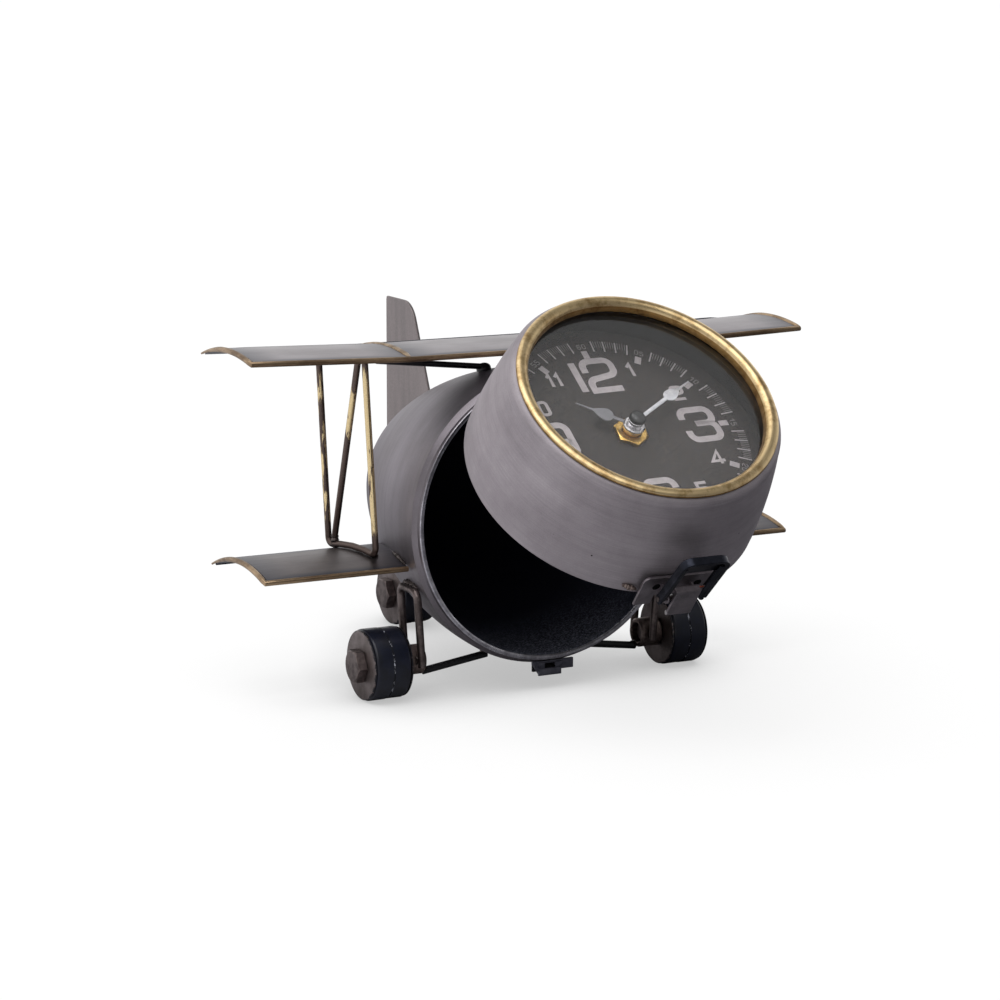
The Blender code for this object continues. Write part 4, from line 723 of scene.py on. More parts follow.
def weld(path, radius, seed=0.0):
    """A lumpy bead of weld along a path, low at both ends."""
    steps, low_end, ripple, lump = 14, 0.35, 0.25, 0.3
    points = []
    radii = []
    path = [Vector(point) for point in path]
    for step in range(steps + 1):
        share = step / steps * (len(path) - 1)
        index = min(int(share), len(path) - 2)
        points.append(path[index].lerp(path[index + 1], share - index))
        swell = low_end + (1 - low_end) * sin(pi * step / steps) ** 0.5
        radii.append(radius * swell * (1 + ripple * sin(step * 2.3 + seed)))
    bm = tube(points, radii, 10)
    for vert in bm.verts:
        vert.co += noise.noise_vector(vert.co * 0.9 + Vector((seed, 0, 0))) * radius * lump
    return bm


def thick_sheet(rows, thickness):
    """A closed thin sheet from rows of points on its middle surface."""
    bm = bmesh.new()
    top = [[bm.verts.new((x, y, z + thickness / 2)) for x, y, z in row] for row in rows]
    low = [[bm.verts.new((x, y, z - thickness / 2)) for x, y, z in row] for row in rows]
    last_row, last = len(rows) - 1, len(rows[0]) - 1
    for row in range(last_row):
        for step in range(last):
            for layer in (top, low):
                near, far = layer[row], layer[row + 1]
                bm.faces.new((near[step], near[step + 1], far[step + 1], far[step]))
        for step in (0, last):
            bm.faces.new((top[row][step], top[row + 1][step], low[row + 1][step], low[row][step]))
    for row in (0, last_row):
        for step in range(last):
            bm.faces.new((top[row][step], low[row][step], low[row][step + 1], top[row][step + 1]))
    return bm


def hex_head(across, height, bore=0.0, steps=96):
    """A hexagon head or nut about Y, from y = 0 forward to y = -height, its front corners chamfered."""
    chamfer = tan(radians(30))
    bm = bmesh.new()
    inner = across / 2 * 0.97
    rings = [[], [], [], []]
    for step in range(steps):
        turn = tau * step / steps
        sector = (turn + pi / 6) % (pi / 3) - pi / 6
        edge = across / 2 / cos(sector)
        drop = (edge - inner) * chamfer
        for ring, radius, y in zip(rings, (edge, edge, inner, bore), (0.0, drop - height, -height, -height)):
            ring.append(bm.verts.new((radius * sin(turn), y, radius * cos(turn))))
    if bore:
        rings.append([bm.verts.new((vert.co.x, 0.0, vert.co.z)) for vert in rings[3]])
        rings.append(rings[0])
    else:
        bmesh.ops.delete(bm, geom=rings[3], context="VERTS")
        bm.faces.new(rings[2])
        bm.faces.new(list(reversed(rings[0])))
        rings = rings[:3]
    for first, second in zip(rings, rings[1:]):
        for step in range(steps):
            after = (step + 1) % steps
            bm.faces.new((first[step], first[after], second[after], second[step]))
    return bm


# Airframe pieces


def make_fuselage():
    """The spun pot, black inside, with its rolled lip, its bead pale steel as a painted highlight, and the
    groove behind it.
    """
    groove_y = 2 * lip_bead_radius
    edge = lip_radius + lip_bead_radius
    shoulder = (fuselage_outer(shoulder_length), shoulder_length)
    outer = arc((lip_radius, lip_bead_radius), lip_bead_radius, -pi, -pi / 2, 8)
    outer += arc((edge - lip_corner, lip_corner), lip_corner, -pi / 2, 0, 6)
    outer += [(edge, groove_y - 0.3), (edge - groove_depth, groove_y + 0.1), (edge, groove_y + groove_width)]
    outer.append(shoulder)
    rings = 45
    shares = [sin(ring / rings * pi / 2) for ring in range(1, rings)]
    stations = [between(shoulder_length, fuselage_length, share) for share in shares]
    outer += [(fuselage_outer(y), y) for y in stations]
    outer += [(tail_button_radius, fuselage_length), (0, fuselage_length)]
    inner = [(0, fuselage_length - 2 * fuselage_wall)]
    for y in reversed(stations[:-3]):
        rise = fuselage_outer(y + fuselage_wall) - fuselage_outer(y - fuselage_wall)
        slope = rise / (2 * fuselage_wall)
        lean = sqrt(1 + slope * slope)
        inner.append((fuselage_outer(y) - fuselage_wall / lean, y + slope * fuselage_wall / lean))
    inner.append((lip_radius - lip_bead_radius, groove_y + groove_width))
    # The lip's bead takes the pale steel: a painted highlight along the rolled lip
    satin, black, rubbed = 0, 1, 2
    finishes = [black] * 2 + [rubbed] * 10 + [satin] * (len(outer) - 12) + [black] * len(inner)
    make_piece("fuselage_pot", spun(outer + inner, 144, finishes), [shell_steel, pot_black, lip_painted_highlight],
               "airframe", replaced=["fuselage_shell"], smooth=40)


def make_fin():
    """The upright fin with softened edges, and the weld along its foot."""
    corner = (fin_rear_y - fin_top_length, fin_top_z - fin_corner_radius)
    outline = [(fin_rear_y, fin_root_lift), (fin_rear_y, fin_top_z - 1.5), (fin_rear_y - 0.5, fin_top_z)]
    outline += arc(corner, fin_corner_radius, pi / 2, pi - fin_edge_lean, 14)
    steps, weld_steps = 20, 16
    foot = []
    for step in range(steps):
        y = fin_front_y + (fuselage_length - fin_front_y) * step / steps
        foot.append((y, fuselage_outer(y) + seat_gap * 2))
    tail_y = fuselage_length + seat_gap
    foot += [(tail_y, tail_button_radius + seat_gap * 2), (tail_y, fin_root_lift)]
    make_piece("fin_sheet", prism(outline + foot, "X", -fin_thickness / 2, fin_thickness / 2), fin_steel,
               "airframe", replaced=["tail_fin"], bevel=0.3)
    seam = [(0, y, z - 0.5) for y, z in foot[1:weld_steps]]
    make_piece("fin_weld", weld(seam, 0.9, 1.0), weld_steel, "airframe")


def edge_roll(point, stations, shares):
    """A rolled edge along the front of a wing and round its tips, thinner where it ends at the rear."""
    full_share, thinning = 0.6, 0.65
    front = [point(x, 0.0) for x in stations]
    tip = [point(stations[-1], share) for share in shares[1:]]
    radii = [edge_bead_radius] * len(front)
    tapers = []
    for share in shares[1:]:
        thin = 1.0 if share < full_share else 1 - thinning * (share - full_share) / (1 - full_share)
        tapers.append(edge_bead_radius * thin)
    path = front + tip
    radii += tapers
    if stations[0] < 0 < stations[-1]:
        path = [point(stations[0], share) for share in reversed(shares[1:])] + path
        radii = list(reversed(tapers)) + radii
    return tube(path, radii, 14)


def make_rib(side, word, chord):
    """The raised strip over a joint of the upper wing, crowned across and faded at both ends."""
    columns, fade = 7, 14
    rows = []
    for column in range(columns):
        across = column / 3 - 1
        crown = rib_thickness * (0.2 + 0.8 * sqrt(max(0.0, 1 - across * across)))
        row = []
        for share in chord:
            point = upper_point(side * upper_crank_x, share)
            end = min(1.0, (share - chord[0]) * fade, (1 - share) * fade + 0.3)
            x = side * upper_crank_x + across * rib_width / 2 * (0.5 + 0.5 * end)
            lift = sheet_thickness / 2 + 0.05 + crown * (0.25 + 0.75 * end) / 2
            row.append(Vector((x, point.y, point.z + lift)))
        rows.append(row)
    make_piece(f"rib_strip_{word}", thick_sheet(rows, rib_sheet), pale_bronze, "airframe",
               replaced=[f"wing_rib_{word}"], smooth=60)


def make_lower_wing(side, word, shares):
    """A lower wing's arched sheet, darker than the upper wing's with painted shade, its hem at the tip, dark
    with painted shade, its rolled edge and the weld at its root.
    """
    inset = (edge_bead_radius + seat_gap) / (lower_rear_y - lower_front_y)
    tip = lower_half_span - edge_bead_radius - seat_gap
    chord = [inset + (1 - inset) * share for share in shares]
    rows = []
    for column in range(11):
        row = []
        for share in chord:
            root = lower_root_x(share)
            row.append(lower_point(side * (root + (tip - root) * column / 10), share))
        rows.append(row)
    make_piece(f"lower_sheet_{word}", thick_sheet(rows, sheet_thickness), lower_sheet, "airframe",
               replaced=[f"lower_wing_{word}"], smooth=50)
    hem = [row[-1] + Vector((0, -lower_hem_radius, 0.05)) for row in rows]
    make_piece(f"lower_hem_{word}", tube(hem, lower_hem_radius, 12), hem_painted_shade, "airframe")
    root = lower_root_x(0.0)
    stations = [side * (root + (lower_half_span - root) * step / 8) for step in range(9)]
    make_piece(f"wing_roll_lower_{word}", edge_roll(lower_point, stations, shares), bronze, "airframe",
               replaced=[f"lower_wing_edge_{word}"], smooth=50)
    places = [lower_point(side * (lower_root_x(share) + 0.1), share) for share in (0.04, 0.12, 0.2, 0.28)]
    seam = [place + Vector((0, 0, 0.7)) for place in places]
    make_piece(f"root_weld_{word}", weld(seam, 0.9, side), weld_steel, "airframe")


def make_wings():
    """Arched sheets, their rolled front edges, a hem along the rear, dark with painted shade, and ribs over
    the joints.
    """
    shares = [step / 24 for step in range(25)]
    inset = (edge_bead_radius + seat_gap) / (upper_rear_y - upper_front_y)
    chord = [inset + (1 - inset) * share for share in shares]
    tip = upper_half_span - edge_bead_radius - seat_gap
    crank = upper_crank_x
    joint = seat_gap / 2
    fade_length = 14
    panels = (("centre", -crank + joint, crank - joint), ("left", -tip, -crank - joint),
              ("right", crank + joint, tip))
    for word, start, end in panels:
        stations = [start + (end - start) * step / 12 for step in range(13)]
        rows = [[upper_point(x, share) for share in chord] for x in stations]
        make_piece(f"wing_sheet_{word}", thick_sheet(rows, sheet_thickness), upper_sheet, "airframe",
                   replaced=[f"upper_wing_{word}"], smooth=50)
        curl = [0.25 + 0.75 * min(1.0, (upper_half_span - abs(x)) / fade_length) for x in stations]
        lifts = [Vector((0, -hem_radius, hem_rise * rise)) for rise in curl]
        hem = [upper_point(x, 1.0) + lift for x, lift in zip(stations, lifts)]
        radii = [hem_radius * rise for rise in curl]
        make_piece(f"wing_hem_{word}", tube(hem, radii, 12), hem_painted_shade, "airframe")
    spans = sorted({-upper_half_span, upper_half_span, -crank, crank} | {x * 10.0 for x in range(-12, 13)})
    make_piece("wing_roll_upper", edge_roll(upper_point, spans, shares), bronze, "airframe",
               replaced=["upper_wing_edge"], smooth=50)
    for side, word in ((-1, "left"), (1, "right")):
        make_rib(side, word, chord)
        make_lower_wing(side, word, shares)


def make_struts():
    """Each side's bent wire and its diagonal, brass where they are rubbed, with weld at the feet."""
    end_gap = 2 * seat_gap
    lift = wire_radius + seat_gap
    for side, word in ((-1, "left"), (1, "right")):
        front_top, rear_top = ((side * x, y) for x, y in (strut_front_top, strut_rear_top))
        front_foot, rear_foot = ((side * x, y) for x, y in (strut_front_foot, strut_rear_foot))
        run = [tuple(a + (b - a) * step / 4 for a, b in zip(front_foot, rear_foot)) for step in range(5)]
        path = [(*front_top, under_upper(*front_top) - end_gap)]
        path += [(*place, over_lower(*place) + lift) for place in run]
        path.append((*rear_top, under_upper(*rear_top) - end_gap))
        bar = tube(bent_path(path, strut_bend), wire_radius)
        make_piece(f"strut_wire_{word}", bar, strut_front_wire, "airframe",
                   replaced=[f"wing_strut_{word}"], smooth=60)
        spacing = wire_radius * 2 + seat_gap * 2
        top_share = spacing * 1.15 / (strut_rear_top[1] - strut_front_top[1])
        foot_share = spacing * 1.3 / (strut_rear_foot[1] - strut_front_foot[1])
        top = tuple(a + (b - a) * top_share for a, b in zip(front_top, rear_top))
        foot = tuple(b + (a - b) * foot_share for a, b in zip(front_foot, rear_foot))
        foot_z = max(over_lower(*foot), over_lower(*rear_foot)) + spacing * 1.5
        line = [(*foot, foot_z), (*top, under_upper(*top) - 2 * end_gap)]
        make_piece(f"diagonal_wire_{word}", tube(line, wire_radius), strut_rear_wire, "airframe",
                   replaced=[f"strut_diagonal_{word}"], smooth=60)
        rear_z, front_z = over_lower(*rear_foot), over_lower(*front_foot)
        beads = (
            ("foot", 1.7, 2.0, [(*foot, foot_z + 2.0), (*foot, foot_z - 2.5),
                                (rear_foot[0] - side * 1.5, rear_foot[1] - 4, rear_z + 0.6)]),
            ("toe", 1.3, 5.0, [(front_foot[0] - side * 2.0, front_foot[1] + 3.0, front_z + 0.4),
                               (front_foot[0] - side * 0.5, front_foot[1] + 5.0, front_z + 2.2)]),
            ("head", 1.5, 7.0, [(*place, under_upper(*place) - 0.9) for place in (front_top, top)]),
        )
        for end, radius, seed, seam in beads:
            make_piece(f"strut_{end}_weld_{word}", weld(seam, radius, seed + side), weld_steel, "airframe")


def make_cabane():
    """A domed boss on each side of the fuselage top and its rod out to the underside of the wing."""
    foot_radius = fuselage_outer(cabane_foot_y)
    low = foot_radius + seat_gap
    high = low + cabane_boss_height
    rim = low + cabane_boss_rim
    lean = asin(cabane_foot_x / foot_radius)
    for side, word in ((-1, "left"), (1, "right")):
        dome = [(0, low), (cabane_boss_radius, low)]
        dome += arc((0, rim), (cabane_boss_radius, high - low - cabane_boss_rim), 0, pi / 2, 10)
        boss = turned(turned(spun(dome, 40), pi / 2, "X"), side * lean, "Y")
        start_radius = high - cabane_rod_radius - seat_gap
        start = (side * start_radius * sin(lean), cabane_foot_y, start_radius * cos(lean))
        top_z = under_upper(side * cabane_top_x, cabane_top_y) - cabane_rod_radius - 2 * seat_gap
        rod = tube([start, (side * cabane_top_x, cabane_top_y, top_z)], cabane_rod_radius)
        make_piece(f"cabane_rod_{word}", merged(moved(boss, (0, cabane_foot_y, 0)), rod), black_steel,
                   "airframe", replaced=[f"cabane_strut_{word}"], smooth=60)


def make_wheel(word, body, outer_x, inward, axle_y):
    """A painted wheel on its bolt. outer_x is its outer face, inward the way from there to its leg."""
    middle = wheel_width / 2
    near = hub_flange_thickness + seat_gap
    far = wheel_width - near
    inside = hub_core_radius + seat_gap
    worn_radius = wheel_radius - 0.15
    tyre = [(inside, near), (wheel_radius - tyre_corner, near)]
    tyre += arc((wheel_radius - tyre_corner, near + tyre_corner), tyre_corner, -pi / 2, 0, 6)[1:]
    seam_floor, seam_half = wheel_radius - tyre_seam_depth, tyre_seam * 0.4
    tyre += [(wheel_radius - 0.05, middle - tyre_seam), (seam_floor, middle - seam_half),
             (seam_floor, middle + seam_half), (wheel_radius - 0.2, middle + tyre_seam)]
    tyre += arc((worn_radius - tyre_corner, far - tyre_corner), tyre_corner, 0, pi / 2, 6)
    tyre += [(inside, far)]
    finishes = [1 if index in (8, 9, 10) else 0 for index in range(len(tyre))]
    bore = bolt_radius + seat_gap
    half_hub = [(bore, 0.0), (hub_flange_radius - hub_rim, 0.0), (hub_flange_radius, hub_rim),
                (hub_flange_radius, hub_flange_thickness), (hub_core_radius, hub_flange_thickness)]
    hub = half_hub + [(radius, wheel_width - x) for radius, x in reversed(half_hub)]
    place = Matrix.Translation((outer_x, axle_y, wheel_axle_z))
    if inward < 0:
        place = place @ Matrix.Rotation(pi, 4, "Z")
    place = to_world @ place
    axle = place @ Vector((0, 0, 0))
    make_piece(f"wheel_tyre_{word}", along_x(spun(tyre, 96, finishes)), [tyre_black, seam_black], body,
               place, [f"tyre_{word}"], smooth=40)
    make_piece(f"wheel_disc_{word}", along_x(spun(hub, 96)), wheel_disc_steel(f"painted_disc_{word}", axle),
               body, place, [f"wheel_hub_{word}"], smooth=40)
    start = wheel_width + seat_gap
    pitch = (bolt_thread_length - 1.2) / thread_turns
    reach = start + bolt_thread_length
    thread = [(0, -1.0), (bolt_radius - 0.1, -1.0), (bolt_radius - 0.1, start + 0.6)]
    for turn in range(thread_turns):
        x = start + 0.9 + turn * pitch
        thread += [(bolt_radius - thread_depth, x), (bolt_radius, x + pitch / 2)]
    thread += [(bolt_radius - 0.7, reach), (0, reach)]
    bolt = merged(along_x(hex_head(bolt_across, bolt_head_length)), along_x(spun(thread, 48)))
    make_piece(f"hex_bolt_{word}", moved(bolt, (-seat_gap, 0, 0)), bolt_steel, "airframe",
               place, [f"wheel_bolt_{word}"], smooth=30)
    end = start + sleeve_length
    sleeve = [(bore, start), (sleeve_radius - 0.6, start), (sleeve_radius, start + 0.6),
              (sleeve_radius, end - 0.8), (sleeve_radius - 0.8, end), (bore + 0.4, end), (bore, end - 0.4)]
    make_piece(f"sleeve_tube_{word}", along_x(spun(sleeve, 64)), sleeve_steel, "airframe",
               place, [f"axle_sleeve_{word}"], smooth=35)


def make_front_gear():
    """Front wheels, their bent legs with weld at top and foot, and the spreaders to the belly."""
    front_y, rear_y = wheel_axle_y - gear_leg_spread, wheel_axle_y + gear_leg_spread
    foot_z = wheel_axle_z - gear_wire_radius
    belly_z = -sqrt(fuselage_outer(wheel_axle_y) ** 2 - spreader_inner_x ** 2)
    for side, word in ((-1, "left"), (1, "right")):
        make_wheel(word, f"{word}_wheel", side * wheel_outer_face_x, -side, wheel_axle_y)
        bottom_x, top_x = side * gear_leg_bottom_x, side * gear_leg_top_x
        legs = [(bottom_x, front_y, foot_z), (top_x, front_y, gear_leg_top_z),
                (top_x, rear_y, gear_leg_top_z), (bottom_x, rear_y, foot_z)]
        bar = tube(bent_path(legs, gear_leg_spread / 2), gear_wire_radius)
        make_piece(f"leg_wire_{word}", bar, wire_steel, "airframe",
                   replaced=[f"gear_legs_{word}"], smooth=60)
        outer_x = side * (wheel_outer_face_x - wheel_width - sleeve_length - seat_gap * 3)
        outer = Vector((outer_x, wheel_axle_y, wheel_axle_z - spreader_outer_drop))
        inner = Vector((side * spreader_inner_x, wheel_axle_y, belly_z - spreader_radius - seat_gap))
        make_piece(f"spreader_rod_{word}", tube([outer, inner], spreader_radius), black_steel, "airframe",
                   replaced=[f"gear_spreader_{word}"], smooth=60)
        beads = (
            ("top", 1.6, [(top_x - side * 0.8, front_y + 1.5, gear_leg_top_z + 1.2),
                          (top_x - side * 1.6, wheel_axle_y, gear_leg_top_z + 1.9),
                          (top_x - side * 0.8, rear_y - 1.5, gear_leg_top_z + 1.2)]),
            ("foot", 1.3, [(bottom_x + side * 0.9, front_y + 0.5, wheel_axle_z + 4.5),
                           (bottom_x + side * 0.9, front_y + 1.4, wheel_axle_z - 1.0)]),
            ("inner", 1.5, [inner + Vector((side * 3.0, 0, 0.6)), inner + Vector((-side * 0.6, 0, 1.2))]),
            ("outer", 1.5, [outer + Vector((side * 0.4, 0, 1.2)), outer + Vector((-side * 2.0, 0, 0.6))]),
        )
        for name, radius, path in beads:
            make_piece(f"gear_weld_{name}_{word}", weld(path, radius, len(name) + side), weld_steel,
                       "airframe")


def make_tail_gear():
    """The tail wheel and the wire that carries it from one side."""
    make_wheel("tail", "tail_wheel", -tail_wheel_face_x, 1, tail_axle_y)
    sleeve_x = wheel_width - tail_wheel_face_x + seat_gap + sleeve_length / 2
    foot_z = wheel_axle_z - gear_wire_radius
    rise = gear_wire_radius + 2 * seat_gap
    front_y, rear_y = tail_axle_y - gear_leg_spread, tail_axle_y + gear_leg_spread
    path = [(sleeve_x, front_y, foot_z), (sleeve_x, front_y, tail_leg_bend_z)]
    path += [(tail_leg_top_x, y, -fuselage_outer(y) - rise) for y in (front_y, tail_axle_y, rear_y)]
    path += [(sleeve_x, rear_y, tail_leg_bend_z), (sleeve_x, rear_y, foot_z)]
    make_piece("tail_leg_wire", tube(bent_path(path, tail_leg_bend), gear_wire_radius), wire_steel,
               "airframe", replaced=["tail_gear_legs"], smooth=60)
    places = (front_y + 2, tail_axle_y, rear_y - 2)
    seam = [(tail_leg_top_x - 1.2, y, -fuselage_outer(y) - 0.5) for y in places]
    make_piece("tail_leg_weld", weld(seam, 1.3, 3.0), weld_steel, "airframe")


def make_catch():
    """The folded catch under the lip, with its slot, gussets and foot, and the weld that holds it."""
    half = catch_width / 2
    slot = catch_slot_width / 2
    top = -lip_radius - lip_bead_radius - seat_gap
    low = top - catch_height
    slot_top = top - catch_slot_drop
    slot_low = slot_top - catch_slot_height
    y_range = (seat_gap, catch_thickness)
    face = merged(block((-half, half), y_range, (slot_top, top)),
                  block((-half, half), y_range, (low, slot_low)),
                  block((-half, -slot), y_range, (slot_low, slot_top)),
                  block((slot, half), y_range, (slot_low, slot_top)))
    bmesh.ops.remove_doubles(face, verts=face.verts, dist=0.001)
    belly = -fuselage_radius - seat_gap
    fold = catch_thickness * 0.9
    gussets = []
    for side in (-1, 1):
        wall_x = sorted((side * (half - seat_gap), side * (half - catch_thickness)))
        outline = [(fold, low + 0.1), (fold, belly), (catch_depth, belly),
                   (catch_depth, belly - catch_thickness)]
        gussets.append(prism(outline, "X", *wall_x))
    foot_low = belly - seat_gap - catch_foot_height
    foot = prism([(0.8, top), (2.0, top), (3.6, belly - seat_gap), (catch_depth, belly - seat_gap),
                  (catch_depth, foot_low), (0.8, foot_low)], "X", half - 0.7, half + catch_foot_width)
    side_gusset = prism([(-half - catch_gusset_width, top + 0.3), (-half + 0.3, low), (-half + 0.3, top)],
                        "Y", 0.5, 1.5)
    web = block((-half + 0.4, half - 0.4), (catch_depth - 1.4, catch_depth - 0.2), (low + 0.4, belly))
    make_piece("catch_bracket", merged(face, *gussets, foot, side_gusset), catch_steel, "airframe",
               replaced=["latch_catch"], bevel=0.25)
    make_piece("catch_back", web, black_steel, "airframe")
    bead_radius = lip_radius + 0.9
    across = (-half - 1.5, -2.0, 2.0, half + 1.5)
    line = [(x, 1.3, -sqrt(bead_radius ** 2 - x * x)) for x in across]
    make_piece("catch_weld", weld(line, 0.8, 4.0), weld_steel, "airframe")


# Lid

drum_front_y = -drum_length - drum_shoulder_depth - seat_gap


def make_drum():
    """The lid's spun drum, black inside, and the pale cut edge of its rim."""
    outer = [(drum_rim_radius - drum_edge_chamfer, -seat_gap),
             (drum_rim_radius, -seat_gap - drum_edge_chamfer)]
    steps, inner_steps, shoulder_steps = 28, 14, 10
    depths = [drum_length * ring / steps for ring in range(1, steps + 1)]
    outer += [(drum_outer(depth), -depth - seat_gap) for depth in depths]
    for step in range(1, shoulder_steps + 1):
        turn = step / shoulder_steps * pi / 2
        outer.append((drum_front_radius - drum_shoulder_radius * (1 - cos(turn)),
                      -drum_length - drum_shoulder_depth * sin(turn) - seat_gap))
    wall_y = drum_front_y + drum_wall
    inner = [(front_opening_radius, drum_front_y), (front_opening_radius, wall_y),
             (drum_front_radius - drum_shoulder_radius + drum_wall / 2, wall_y)]
    depths = [drum_length * ring / inner_steps for ring in range(inner_steps, -1, -1)]
    inner += [(drum_outer(depth) - drum_wall, -depth - seat_gap) for depth in depths]
    finishes = [0] * (len(outer) + 1) + [1] * (len(inner) - 1)
    make_piece("drum_pot", spun(outer + inner, 144, finishes), [drum_steel, black_plastic], "lid",
               lid_to_world, ["clock_drum"], smooth=40)


def make_bezel():
    """The pressed brass bezel: one broad convex band that turns in to the glass, brown at its edges with
    patina and painted shade where the band turns away from the light.
    """
    seat = drum_front_y - seat_gap
    glass_front = drum_front_y + bezel_lip_depth
    crest_y = seat - bezel_height
    skirt = front_opening_radius - seat_gap
    skirt_y = drum_front_y + bezel_skirt
    # The edge rows take the brown brass: patina, and painted shade where the band turns away
    brown_outside, brown_inside = 3, 8
    outer_radii = (bezel_outer_radius - bezel_crest_radius, bezel_height)
    inner_radii = (bezel_crest_radius - bezel_inner_radius, glass_front - crest_y)
    outline = arc((bezel_crest_radius, seat), outer_radii, 0, -pi / 2, 14)
    outline += arc((bezel_crest_radius, glass_front), inner_radii, -pi / 2, -pi, 18)[1:]
    bright = len(outline) - brown_outside - brown_inside
    skirt_in = skirt - bezel_wall
    outline += [(skirt_in, glass_front), (skirt_in, skirt_y), (skirt, skirt_y), (skirt, seat)]
    finishes = [1] * brown_outside + [0] * bright + [1] * (brown_inside + 4)
    make_piece("bezel_ring", spun(outline, 180, finishes), [brass, brass_patina_and_shade], "lid",
               lid_to_world, ["bezel"], smooth=32)


def make_face():
    """The black liner behind the glass and the charcoal dial."""
    near = drum_front_y + bezel_lip_depth + glass_thickness + 2 * seat_gap
    back = -dial_depth - seat_gap
    front_radius = drum_outer(-near) - drum_wall - liner_clearance
    back_radius = drum_outer(dial_depth) - drum_wall - 2 * liner_clearance
    wall = [(liner_flange_radius, near), (front_radius, near), (back_radius, back),
            (back_radius - liner_thickness, back), (front_radius - liner_thickness, near + liner_thickness),
            (liner_flange_radius, near + liner_thickness)]
    make_piece("liner_cone", spun(wall, 144), liner_black, "lid", lid_to_world,
               ["inner_wall_ring"])
    hole = bush_radius + seat_gap
    edge = drum_outer(dial_depth) - drum_wall - liner_clearance
    behind = -dial_depth + dial_thickness
    disc = [(hole, -dial_depth), (edge, -dial_depth), (edge, behind), (hole, behind)]
    make_piece("dial_disc", spun(disc, 144), dial_print, "lid", lid_to_world, ["dial"])


def ribbon(bm, points, width, height, closed=False):
    """A printed stroke of the given width along flat points, at the given height along Y."""
    rows = []
    count = len(points)
    for index, point in enumerate(points):
        before = points[index - 1] if closed or index else point
        after = points[(index + 1) % count] if closed or index < count - 1 else point
        first = (point - before).normalized() if (point - before).length else (after - point).normalized()
        second = (after - point).normalized() if (after - point).length else first
        middle = (first + second).normalized()
        normal = Vector((-middle.y, middle.x))
        stretch = 1 / max(0.5, middle.dot(first))
        rows.append([point + normal * width / 2 * stretch, point - normal * width / 2 * stretch])
    if closed:
        rows.append(rows[0])
    for lower, upper in zip(rows, rows[1:]):
        corners = [lower[0], upper[0], upper[1], lower[1]]
        bm.faces.new([bm.verts.new((corner.x, height, corner.y)) for corner in corners])


# Each numeral as strokes of (across, up, rounded) shares; a stroke that ends where it starts is closed
ring_stroke = [(0, 0, 1), (1, 0, 1), (1, 1, 1), (0, 1, 1), (0, 0, 1)]
glyph_strokes = {
    "0": [ring_stroke],
    "1": [[(0, 0.74, 0), (0.8, 1, 0), (0.8, 0, 0)]],
    "I": [[(0.5, 1, 0), (0.5, 0, 0)]],
    "2": [[(0, 0.62, 0), (0, 1, 1), (1, 1, 1), (1, 0.5, 1), (0, 0.36, 1), (0, 0, 0), (1, 0, 0)]],
    "3": [[(0, 0.7, 0), (0, 1, 1), (1, 1, 1), (1, 0.53, 1), (0.36, 0.53, 0)],
          [(0.36, 0.53, 0), (1, 0.53, 1), (1, 0, 1), (0, 0, 1), (0, 0.32, 0)]],
    "4": [[(1, 0.26, 0), (0, 0.26, 0), (0.66, 1, 0), (0.66, 0, 0)]],
    "5": [[(1, 1, 0), (0, 1, 0), (0, 0.58, 0), (1, 0.58, 1), (1, 0, 1), (0, 0, 1), (0, 0.2, 0)]],
    "6": [[(1, 0.72, 0), (1, 1, 1), (0, 1, 1), (0, 0, 1), (1, 0, 1), (1, 0.56, 1), (0, 0.56, 0)]],
    "7": [[(0, 1, 0), (1, 1, 0), (0.4, 0, 0)]],
    "8": [ring_stroke, [(0, 0.53, 0), (1, 0.53, 0)]],
    "9": [[(0, 0.28, 0), (0, 0, 1), (1, 0, 1), (1, 1, 1), (0, 1, 1), (0, 0.44, 1), (1, 0.44, 0)]],
}


def draw_glyph(bm, glyph, centre, width, look, height_off, turn=0.0):
    """One numeral about its centre, its strokes inside its width and the look's height."""
    height, stroke, corner = look
    swing = Matrix.Rotation(turn, 2)
    for corners in glyph_strokes[glyph]:
        closed = corners[0] == corners[-1]
        places, radii = [], []
        for across, up, bend in corners[:-1] if closed else corners:
            point = swing @ Vector(((across - 0.5) * (width - stroke), (up - 0.5) * (height - stroke)))
            places.append((centre[0] + point.x, centre[1] + point.y))
            radii.append(corner * bend)
        ribbon(bm, rounded(places, radii, 5, closed), stroke, height_off, closed)


